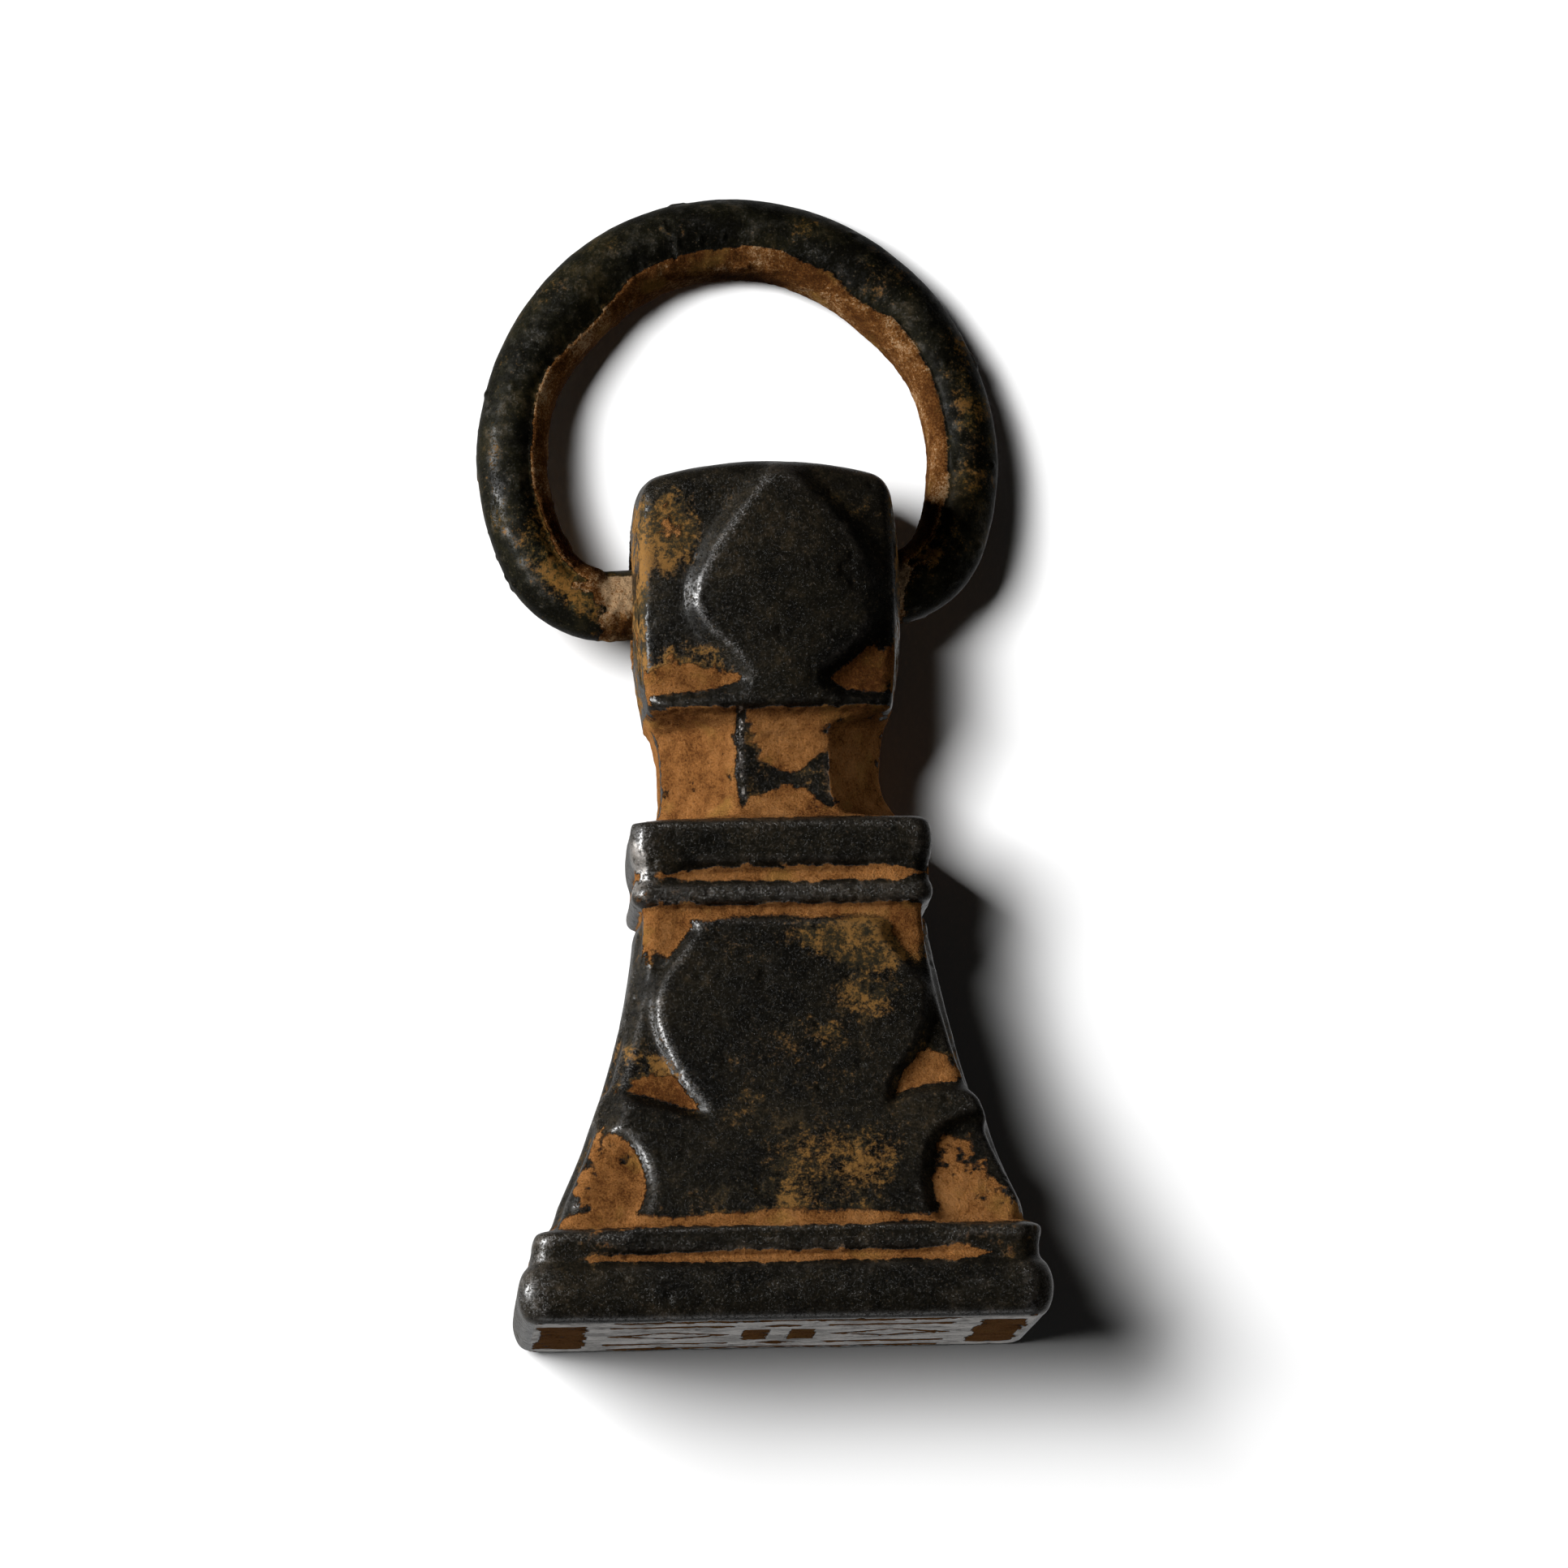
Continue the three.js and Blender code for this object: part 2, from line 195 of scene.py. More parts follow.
def layered_noise(points, size, seed, layers=4, fade=0.55):
    """Noise with finer and weaker layers on top, from 0 to 1."""
    total = np.zeros(len(points), np.float32)
    weight = 1.0
    weights = 0.0
    for layer in range(layers):
        total += weight * value_noise(points + LAYER_SHIFT * layer, size / 2**layer, seed + layer)
        weights += weight
        weight *= fade
    return total / weights


def ramp(value, low, high):
    """0 below low, 1 above high and a smooth rise between them."""
    share = np.clip((value - low) / (high - low), 0, 1)
    return share * share * (3 - 2 * share)


# Outlines in millimetres: across x, level s
SPADE = [
    (0.5, 33.1), (1.94, 31.75), (3.3, 30.3), (4.1, 28.65), (4.22, 27.4), (3.75, 26.0), (2.35, 24.8),
    (2.08, 24.55), (2.5, 24.12), (3.5, 23.84), (5.3, 23.75), (5.3, 23.4), (-5.3, 23.4), (-5.3, 23.75),
    (-3.2, 23.9), (-1.74, 24.12), (-1.0, 24.42), (-0.98, 24.75), (-1.6, 25.55), (-2.55, 26.45),
    (-2.93, 27.5), (-2.7, 28.65), (-1.8, 30.3), (-0.6, 31.85),
]
PANEL = [
    (-2.9, 15.5), (-3.35, 15.0), (-4.2, 13.9), (-4.78, 12.9), (-4.93, 11.8), (-4.6, 10.5), (-3.9, 9.0),
    (-3.15, 7.85), (-4.6, 8.22), (-5.8, 8.55), (-6.9, 8.55), (-9.5, 8.2), (-9.5, 7.3), (-7.2, 7.4),
    (-6.5, 7.3), (-5.9, 6.8), (-5.5, 6.1), (-5.35, 5.3), (-5.5, 4.4), (-6.2, 3.2), (-6.2, 2.9),
    (6.5, 2.9), (6.5, 3.3), (5.6, 3.8), (5.15, 4.5), (5.08, 5.4), (5.25, 6.5), (5.85, 7.25),
    (6.6, 7.6), (7.4, 7.75), (9.5, 7.6), (9.5, 8.4), (7.0, 8.75), (6.0, 8.8), (4.85, 8.68),
    (3.9, 8.3), (4.05, 9.2), (4.75, 10.1), (5.25, 11.2), (5.42, 12.2), (5.3, 12.9), (4.6, 13.8),
    (3.95, 14.6), (3.2, 15.3),
]


def smooth_outline(points, steps=6):
    """The closed outline with each stretch rounded by a Catmull-Rom curve."""
    corners = np.array(points, float)
    runs = []
    for i in range(len(corners)):
        a, b, c, d = (corners[(i + k) % len(corners)] for k in (-1, 0, 1, 2))
        t = (np.arange(steps) / steps)[:, None]
        runs.append(
            0.5 * (2 * b + (c - a) * t + (2 * a - 5 * b + 4 * c - d) * t**2 + (3 * b - a - 3 * c + d) * t**3)
        )
    return np.concatenate(runs)


def inside_distance(outline, across, level):
    """Distance to the outline at each grid point, positive inside it."""
    px, ps = np.meshgrid(across, level, indexing="ij")
    nearest = np.full(px.shape, np.inf)
    inside = np.zeros(px.shape, bool)
    for (ax, ay), (bx, by) in zip(outline, np.roll(outline, -1, axis=0)):
        ex, ey = bx - ax, by - ay
        share = np.clip(((px - ax) * ex + (ps - ay) * ey) / (ex * ex + ey * ey), 0, 1)
        nearest = np.minimum(nearest, np.hypot(px - ax - share * ex, ps - ay - share * ey))
        crosses = (ay > ps) != (by > ps)
        if ay != by:
            inside ^= crosses & (px < ax + (ps - ay) / (by - ay) * ex)
    return np.where(inside, nearest, -nearest)


# The seal as a field that is negative inside the metal
def smooth_most(a, b, width):
    """The greater of two fields, blended over that width, in single precision."""
    b = b.astype(np.float32)
    blend = np.maximum(width - np.abs(a - b), 0) / width
    return np.maximum(a, b) + blend * blend * width / 4


def blurred(values, sigma_steps):
    """A row of values after a Gaussian blur."""
    reach = math.ceil(3 * sigma_steps)
    kernel = np.exp(-0.5 * (np.arange(-reach, reach + 1) / sigma_steps) ** 2)
    padded = np.pad(values, reach, mode="edge")
    return np.convolve(padded, kernel / kernel.sum(), mode="valid")


def bead(level, low, high, edge, full):
    """Half width of a rounded bead between two levels."""
    share = np.clip((level - low) / (high - low), 0, 1)
    return edge + (full - edge) * np.sin(math.pi * share) ** 0.6


FLARE_SHARES = [1, 0.93, 0.79, 0.66, 0.55, 0.44, 0.34, 0.255, 0.175, 0.11, 0.055, 0.015, 0]
HEAD_SHARES = [
    (0, 0.985, 0.965, 0.15), (0.12, 0.995, 0.985, 0.5), (0.3, 1, 1, 0.85), (0.5, 1, 1.01, 1),
    (0.68, 0.995, 1, 0.85), (0.8, 0.99, 0.985, 0.6), (1, 0.97, 0.95, 0.3),
]


def seal_profile(level):
    """Half width, half depth, corner radius, chamfer and side bulge at each level."""
    half = np.where(level < BEAD_TOP, bead(level, 0, BEAD_TOP, FACE_HALF, BEAD_HALF), LIP_HALF)
    lip = (level >= LIP_FOOT) & (level < BODY_FOOT)
    half = np.where(lip, bead(level, LIP_FOOT, BODY_FOOT, LIP_HALF - GROOVE / 2, LIP_HALF), half)
    flare_levels = np.linspace(BODY_FOOT, BODY_TOP, len(FLARE_SHARES))
    flare = WAIST_HALF + (BODY_FOOT_HALF - WAIST_HALF) * np.interp(level, flare_levels, FLARE_SHARES)
    half = np.where((level >= BODY_FOOT) & (level < BODY_TOP), flare, half)
    edge = COLLAR_HALF - GROOVE / 2
    collar = np.where(
        level < COLLAR_GROOVE_TOP,
        bead(level, BODY_TOP, COLLAR_GROOVE_FOOT, edge, COLLAR_HALF),
        bead(level, COLLAR_GROOVE_TOP, NECK_FOOT, edge, COLLAR_HALF),
    )
    half = np.where((level >= BODY_TOP) & (level < NECK_FOOT), collar, half)
    share = np.clip((level - NECK_FOOT) / (NECK_TOP - NECK_FOOT), 0, 1)
    flared = np.where(share < 0.5, NECK_FOOT_HALF, NECK_HEAD_HALF)
    neck = NECK_HALF + (flared - NECK_HALF) * np.abs(2 * share - 1) ** 2.5
    on_neck = (level >= NECK_FOOT) & (level < NECK_TOP)
    half = np.where(on_neck, neck, half)
    head_share = np.clip((level - HEAD_FOOT) / (HEAD_TOP - HEAD_FOOT), 0, 1)
    shares = np.array(HEAD_SHARES)
    to_head = np.clip((level - NECK_TOP) / (HEAD_FOOT - NECK_TOP), 0, 1) ** 1.7
    head_half = HEAD_HALF * np.interp(head_share, shares[:, 0], shares[:, 1])
    head_depth = HEAD_DEPTH * np.interp(head_share, shares[:, 0], shares[:, 2])
    above = level >= NECK_TOP
    depth = np.where(above, NECK_HEAD_HALF + (head_depth - NECK_HEAD_HALF) * to_head, half)
    half = np.where(above, NECK_HEAD_HALF + (head_half - NECK_HEAD_HALF) * to_head, half)
    bulge = np.where(above, HEAD_BULGE * np.interp(head_share, shares[:, 0], shares[:, 3]) * to_head, 0)
    radius = np.interp(
        level,
        [0, BODY_FOOT, BODY_FOOT + 0.3, BODY_TOP - 0.2, BODY_TOP, NECK_FOOT, NECK_FOOT + 0.2, HEAD_FOOT],
        [PLINTH_ROUND] * 2 + [BODY_ROUND] * 2 + [COLLAR_ROUND] * 2 + [NECK_ROUND, HEAD_ROUND],
    )
    full_cut = half * (2 - math.sqrt(2))
    chamfer = full_cut * np.where(on_neck, 1.0, np.where(above, 1 - to_head, 0.0))
    return [blurred(v, PROFILE_BLUR / STEP) for v in (half, depth, radius, chamfer, bulge)]


def relief_height(outline, across, level, slope):
    """Height of a raised figure over (across, level), with sloping sides."""
    return RELIEF * ramp(inside_distance(outline, across, level), -slope / 2, slope / 2)


def groove_height(across, level, low, high, reach):
    """A groove with pointed ends, as a negative height."""
    middle, width = (low + high) / 2, high - low
    fade = ramp(reach - np.abs(across), 0, 4 * width)[:, None]
    dip = np.exp(-(((level - middle) / (GROOVE_WIDTH_SHARE * width)) ** 2))[None, :]
    return -GROOVE * fade * dip


def side_heights(across, level, mirrored, spade):
    """Relief and grooves of one side of the seal, over (across, level)."""
    flip = (-1, 1) if mirrored else (1, 1)
    total = relief_height(smooth_outline(np.array(PANEL) * flip), across, level, PANEL_SLOPE)
    total *= ramp(level, BODY_FOOT - 0.25, BODY_FOOT + 0.1) * (1 - ramp(level, BODY_TOP - 0.5, BODY_TOP))
    if spade:
        head = relief_height(smooth_outline(np.array(SPADE) * flip), across, level, SPADE_SLOPE)
        total += head * ramp(level, HEAD_FOOT - 0.25, HEAD_FOOT)
    total += groove_height(across, level, BEAD_TOP, LIP_FOOT, LIP_HALF - LIP_GROOVE_INSET)
    collar_reach = COLLAR_HALF - COLLAR_GROOVE_INSET
    total += groove_height(across, level, COLLAR_GROOVE_FOOT, COLLAR_GROOVE_TOP, collar_reach)
    neck = ramp(level, NECK_FOOT, NECK_FOOT + 0.6) * (1 - ramp(level, NECK_TOP - 0.4, NECK_TOP))
    total -= NECK_DISH * neck * np.clip(1 - (across[:, None] / NECK_DISH_HALF) ** 2, 0, 1)
    return total


def box_distance(px, pz, centre_x, centre_z, half_x, half_z):
    """Distance to a rectangle, negative inside it."""
    qx, qz = np.abs(px - centre_x) - half_x, np.abs(pz - centre_z) - half_z
    return np.hypot(np.maximum(qx, 0), np.maximum(qz, 0)) + np.minimum(np.maximum(qx, qz), 0)


def lozenge_distance(px, pz, centre_x, centre_z, reach):
    """Distance to a square on its corner, negative inside it."""
    return (np.abs(px - centre_x) + np.abs(pz - centre_z) - reach) / math.sqrt(2)


def engraving_distance(px, pz):
    """Distance to the plain geometric figures sunk in the face, negative inside them."""
    outer = FACE_HALF - FACE_RIM
    field = outer - 2 * STROKE
    thin = STROKE / 2
    centre = (field + STROKE) / 2
    reach = (field - STROKE) / 2
    width = reach - STROKE
    row = field - 2 * STROKE
    parts = []
    for side in (-1, 1):
        ring = lozenge_distance(px, pz, side * centre, 0, width)
        parts += [
            box_distance(px, pz, side * (outer - STROKE), 0, STROKE, field),
            box_distance(px, pz, 0, side * (outer - thin), field - STROKE, thin),
            box_distance(px, pz, side * STROKE, 0, thin, reach),
            np.maximum(ring, -(ring + thin)),
            lozenge_distance(px, pz, 0, side * row, STROKE),
            box_distance(px, pz, centre, side * row, width, thin),
            box_distance(px, pz, -centre, side * row, width, thin),
        ]
    return np.minimum.reduce(parts)


def face_wear(across, depth):
    """How far the earth has fallen out of the face, from 0 to 1, over (across, depth)."""
    px, pz = np.meshgrid(across, depth, indexing="ij")
    places = np.stack([px, 0 * px, pz], axis=-1).reshape(-1, 3)
    return ramp(layered_noise(places, 2.2, 15), 0.4, 0.75).reshape(px.shape)


def seal_field(across, level, depth):
    """The whole seal over (across, level, depth), negative inside the metal."""
    half, deep, radius, chamfer, bulge = (v[None, :, None] for v in seal_profile(level))
    x = across[:, None, None]
    s = level[None, :, None]
    z = depth[None, None, :]
    front = side_heights(across, level, False, True)[:, :, None]
    back = side_heights(across, level, True, True)[:, :, None]
    right = SIDE_RELIEF_SHARE * side_heights(depth, level, True, False).T[None, :, :]
    left = SIDE_RELIEF_SHARE * side_heights(depth, level, False, False).T[None, :, :]
    round_out = bulge * (1 - (z / deep) ** 2)
    reach_x = half + round_out + np.where(x > 0, right, left)
    crown = HEAD_CROWN * (x / HEAD_HALF) ** 2 * ramp(s, NECK_TOP, HEAD_FOOT)
    reach_z = deep + np.where(z > 0, front, back) - crown
    field = box_distance(x, z, 0, 0, reach_x - radius, reach_z - radius) - radius
    twist = NECK_TWIST * np.clip(x * z / 4, -1, 1)
    octagon = (np.abs(x) + np.abs(z) - (half + deep - chamfer + twist)) / math.sqrt(2)
    field = np.maximum(field, octagon).astype(np.float32)
    top = HEAD_TOP + 0.05 - 0.5 * (x / 4) ** 2 - 0.3 * (z / 4) ** 2
    field = smooth_most(field, s - top, TOP_EDGE)
    field = smooth_most(field, -s, FACE_EDGE)
    flare = ramp(np.abs(x), HEAD_HALF + HEAD_BULGE - MOUTH_DEPTH, HEAD_HALF + HEAD_BULGE)
    bore_radius = BORE_RADIUS + (MOUTH_RADIUS - BORE_RADIUS) * flare
    bore = np.hypot(s - BORE_LEVEL, z) - bore_radius
    field = smooth_most(field, -bore, MOUTH_EDGE)
    figures = engraving_distance(x[:, :, 0], depth[None, :])[:, None, :]
    filled = EARTH_FILL + EARTH_LOSS * face_wear(across, depth)[:, None, :]
    cut = np.maximum(figures + 0.03, s - filled)
    return smooth_most(field, -cut, CUT_EDGE)


def box_blur(values, reach):
    """Mean over a box of 2 * reach + 1 steps along each axis."""
    for axis in range(3):
        width = 2 * reach + 1
        pad = [(0, 0)] * 3
        pad[axis] = (reach + 1, reach)
        sums = np.cumsum(np.pad(values, pad, mode="edge"), axis=axis, dtype=np.float32)
        size = values.shape[axis]
        high = np.take(sums, np.arange(width, width + size), axis=axis)
        low = np.take(sums, np.arange(0, size), axis=axis)
        values = (high - low) / width
    return values


def surface_net(field, origin):
    """Vertices and quads of the surface where the field is zero, facing out of the negative side."""
    inside = field < 0
    shape = tuple(n - 1 for n in field.shape)
    count = np.zeros(shape, np.int8)
    corners = list(np.ndindex(2, 2, 2))
    for i, j, k in corners:
        count += inside[i:i + shape[0], j:j + shape[1], k:k + shape[2]]
    active = (count > 0) & (count < 8)
    cells = np.argwhere(active)
    index = np.full(shape, -1, np.int64)
    index[active] = np.arange(len(cells))
    values = {c: field[cells[:, 0] + c[0], cells[:, 1] + c[1], cells[:, 2] + c[2]] for c in corners}
    total = np.zeros((len(cells), 3))
    crossings = np.zeros(len(cells))
    for a in corners:
        for axis in range(3):
            if a[axis]:
                continue
            b = tuple(v + (n == axis) for n, v in enumerate(a))
            crosses = (values[a] < 0) != (values[b] < 0)
            share = np.where(crosses, values[a] / np.where(crosses, values[a] - values[b], 1), 0)
            point = np.tile(np.array(a, float), (len(cells), 1))
            point[:, axis] += share
            total += point * crosses[:, None]
            crossings += crosses
    vertices = (cells + total / crossings[:, None]) * STEP + origin
    quads = []
    for axis in range(3):
        u, v = (axis + 1) % 3, (axis + 2) % 3
        low = [slice(1, n - 1) for n in field.shape]
        low[axis] = slice(0, field.shape[axis] - 1)
        high = list(low)
        high[axis] = slice(1, field.shape[axis])
        here, there = inside[tuple(low)], inside[tuple(high)]
        starts = np.argwhere(here != there)
        outward = here[tuple(starts.T)]
        around = []
        for du, dv in ((1, 1), (0, 1), (0, 0), (1, 0)):
            cell = starts.copy()
            cell[:, u] += du
            cell[:, v] += dv
            around.append(index[tuple(cell.T)])
        quad = np.stack(around, axis=1)
        quad[~outward] = quad[~outward][:, ::-1]
        quads.append(quad)
    return vertices, np.concatenate(quads)


def edges_of(quads):
    """Each edge of the quads once, as a pair of vertices."""
    pairs = np.concatenate([quads[:, [k, (k + 1) % 4]] for k in range(4)])
    pairs.sort(axis=1)
    return np.unique(pairs, axis=0)


def neighbour_mean(values, edges):
    """Mean of each vertex's neighbours."""
    size = len(values)
    starts = np.concatenate([edges[:, 0], edges[:, 1]])
    ends = np.concatenate([edges[:, 1], edges[:, 0]])
    degree = np.maximum(np.bincount(starts, minlength=size), 1)
    columns = values.reshape(size, -1).T
    sums = [np.bincount(starts, weights=column[ends], minlength=size) / degree for column in columns]
    return np.stack(sums, axis=1).reshape(values.shape)


def smoothed(values, edges, rounds):
    """Values drawn halfway to their neighbours' mean, that many times."""
    for _ in range(rounds):
        values = 0.5 * values + 0.5 * neighbour_mean(values, edges)
    return values


def vertex_normals(vertices, quads):
    a, b, c, d = (vertices[quads[:, k]] for k in range(4))
    face = np.cross(c - a, d - b)
    total = np.zeros(vertices.shape)
    for axis in range(3):
        for corner in range(4):
            total[:, axis] += np.bincount(quads[:, corner], weights=face[:, axis], minlength=len(vertices))
    return total / np.maximum(np.linalg.norm(total, axis=1, keepdims=True), 1e-9)


def sampled(grid, origin, points):
    """Grid values at the points, with straight steps between grid points."""
    place = (points - origin) / STEP
    cell = np.clip(np.floor(place).astype(np.int64), 0, np.array(grid.shape) - 2)
    return corners_blended(grid, cell, place - cell)


def patch(u, v, centre_u, centre_v, reach_u, reach_v):
    """1 at the middle of a soft patch, 0 outside it."""
    return np.clip(1 - ((u - centre_u) / reach_u) ** 2 - ((v - centre_v) / reach_v) ** 2, 0, 1)


def new_object(name, data):
    made = bpy.data.objects.new(name, data)
    bpy.context.scene.collection.objects.link(made)
    return made


def mesh_object(name, vertices, quads, attributes, material, body, node, fans=()):
    """A piece that stands for a CAD node. Vertices are in metres in the row frame."""
    mesh = bpy.data.meshes.new(name)
    mesh.from_pydata(vertices.tolist(), [], quads.tolist() + list(fans))
    mesh.polygons.foreach_set("use_smooth", np.ones(len(mesh.polygons), bool))
    for key, values in attributes.items():
        mesh.attributes.new(key, "FLOAT", "POINT").data.foreach_set("value", values.astype(np.float32))
    mesh.materials.append(material)
    mesh.update()
    piece = new_object(name, mesh)
    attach(piece, body)
    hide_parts(node)
    return piece


# Earth in the recesses of the front: across, level, reaches across and along, strength
FRONT_EARTH = [
    (-3.6, 30.7, 1.2, 1.6, 0.6), (-3.3, 24.2, 3.2, 1.1, 1.6), (-3.6, 25.2, 2.0, 1.1, 0.5),
    (3.9, 24.7, 2.6, 1.6, 1.5), (-4.8, 15.1, 2.6, 1.9, 1.3), (5.0, 14.9, 2.3, 1.9, 1.3),
    (0.0, 15.6, 5.0, 0.6, 0.8), (3.4, 14.9, 2.6, 1.2, 1.0), (-4.6, 8.5, 3.2, 1.1, 1.1),
    (-5.2, 9.6, 1.9, 1.3, 0.4), (5.7, 9.3, 2.3, 1.3, 1.3), (-6.6, 5.2, 2.5, 3.2, 1.35),
    (7.4, 5.0, 3.1, 3.2, 1.0), (1.5, 4.1, 3.8, 0.8, 0.8), (-2.0, 3.8, 7.0, 0.5, 0.7),
]
# Thin ochre and olive stain over the dark patina of the front
FRONT_STAIN = [
    (-3.6, 30.2, 1.4, 2.2, 1.6), (-2.6, 31.9, 1.6, 0.8, 0.5), (3.9, 31.0, 2.4, 2.2, 0.5),
    (-3.4, 25.2, 2.4, 1.6, 0.9), (-4.9, 29.5, 0.7, 3.5, 0.8), (-4.85, 26.8, 0.5, 4.0, 1.0),
    (3.6, 14.4, 3.0, 1.2, 0.9), (3.3, 12.7, 1.9, 1.7, 0.85), (1.7, 11.0, 0.9, 0.6, 0.6),
    (2.6, 14.6, 3.0, 1.1, 0.95), (1.8, 5.4, 3.8, 2.4, 0.75), (3.4, 6.4, 1.8, 1.4, 0.3),
    (-2.2, 4.6, 3.6, 1.2, 0.5), (-5.6, 10.0, 2.2, 1.8, 0.7), (5.8, 10.4, 1.6, 1.4, 0.6),
    (-1.5, 14.6, 3.6, 1.0, 0.5), (0.0, 8.0, 6.0, 4.0, 0.4), (0.5, 11.5, 5.0, 4.0, 0.35),
]
# Single places on the front: across, level and reaches
NECK_VEIL = (-0.75, 22.2, 0.7, 1.3)
COLLAR_RUB = (-5.7, 17.4, 1.2, 2.0)
BEAD_RUB = (-9.9, 1.6, 1.6, 1.6)
# The next two places darken the patina and earth colour on the front: painted shade on the head's right and
# in the left notch
HEAD_PAINTED_SHADE = (4.3, 25, 3, 2)
NOTCH_PAINTED_SHADE = (-4.8, 8.8, 3, 2)
# Directions of the bare ridges of the neck, in degrees from the front towards the right
RIDGE_TURNS = (-153, -117, -74, 106, 164)
RIDGE_HALF = 3
# The dark strip beside the bow tie, in millimetres
STRIP_ACROSS = -1.12
STRIP_HALF = 0.17
# Grooves that hold earth: foot, top, and where the earth ends at the left and right
GROOVES = [
    (BEAD_TOP, LIP_FOOT, 1.4 - LIP_HALF, LIP_HALF - 1.4),
    (COLLAR_GROOVE_FOOT, COLLAR_GROOVE_TOP, -0.6 - COLLAR_HALF, COLLAR_HALF + 0.3),
]


def inside_relief(points, normals):
    """Distance inside the raised figures of the side that each point lies on, in millimetres."""
    across = np.arange(-BEAD_HALF - 1, BEAD_HALF + 1, OUTLINE_STEP)
    level = np.arange(-1, HEAD_TOP + 1, OUTLINE_STEP)
    panel = inside_distance(smooth_outline(PANEL), across, level)
    spade = inside_distance(smooth_outline(SPADE), across, level)
    x, s, z = points.T
    on_face = np.abs(normals[:, 2]) >= np.abs(normals[:, 0])
    flip = np.where(on_face, np.sign(z), -np.sign(x))
    place = np.stack([np.where(on_face, x, z) * flip, s], axis=1)
    origin = np.array([across[0], level[0]])
    cell = np.clip(((place - origin) / OUTLINE_STEP).astype(int), 0, np.array(panel.shape) - 1)
    on_panel = panel[cell[:, 0], cell[:, 1]]
    on_spade = np.where(on_face, spade[cell[:, 0], cell[:, 1]], -2)
    return np.where(s < BODY_TOP, on_panel, on_spade)


def neck_facets(x, s, z):
    """Dark metal on the neck: ridges between facets, a bow tie with a strip, and the strip alone."""
    ridge = np.zeros(len(x))
    turn = np.degrees(np.arctan2(x, z))
    for angle in RIDGE_TURNS:
        ridge = np.maximum(ridge, 1 - np.abs(turn - angle) / RIDGE_HALF)
    up = np.abs(s - BOW_LEVEL)
    left = np.where((x > -1.3) & (x < 0.75), 0.95 * (0.75 - x) / 1.9, -1)
    right = np.where((x > 0.7) & (x < 2.15), 0.95 * (x - 0.7) / 1.35, -1)
    bow = 0.4 + (np.maximum(left, right) - up) / 0.55
    strip = (1.3 - np.abs(x - STRIP_ACROSS) / STRIP_HALF) * ramp(s, 19.9, 20.2)
    front = ramp(z, 1.5, 3)
    strip = front * np.clip(strip, 0, 1)
    veil = 0.5 * patch(x, s, *NECK_VEIL)
    shown = front * np.maximum(np.clip(bow, 0, 1), veil)
    return np.clip(ridge, 0, 1) * ramp(s, 19.4, 19.7), np.maximum(strip, shown), strip


def add_groove_earth(bias, points, normals, broad, fine):
    """Raises the bias along the grooves, less towards their ends."""
    x, s, z = points.T
    across = np.where(np.abs(normals[:, 2]) > np.abs(normals[:, 0]), x, z)
    for low, high, left_end, right_end in GROOVES:
        taper = ramp(across - left_end, 0, 4.5) * ramp(right_end - across, 0, 1.6)
        width = (high - low) * (0.08 + 0.34 * taper + 0.4 * broad + 0.3 * fine)
        away = (s - (low + high) / 2 + 0.05) / np.maximum(width, 0.04)
        bias += 1.6 * taper**0.4 * np.exp(-(away**2)) - 0.1


def rubbed_edges(points, relief, normal_curve, fine):
    """Metal rubbed on sharp edges, calmer on the head outside its spade and on the body."""
    x, s, z = points.T
    worn = 0.7 * ramp(-normal_curve + 0.6 * fine, 0.3, 0.75)
    worn *= 1 - 0.85 * ramp(s, NECK_TOP, HEAD_FOOT) * (1 - ramp(relief, -0.6, -0.3))
    worn *= 1 - 0.8 * (1 - ramp(np.abs(s - HEAD_FOOT - 0.1), 0.4, 0.8))
    worn *= 1 - 0.4 * ramp(s, 3, 4) * (1 - ramp(s, 15, 16))
    worn = np.maximum(worn, 1.1 * patch(x, s, *COLLAR_RUB) * ramp(z, 1, 4))
    worn = np.maximum(worn, 0.8 * patch(x, s, *BEAD_RUB) * ramp(z, 4, 8))
    return np.clip(worn, 0, 0.85)


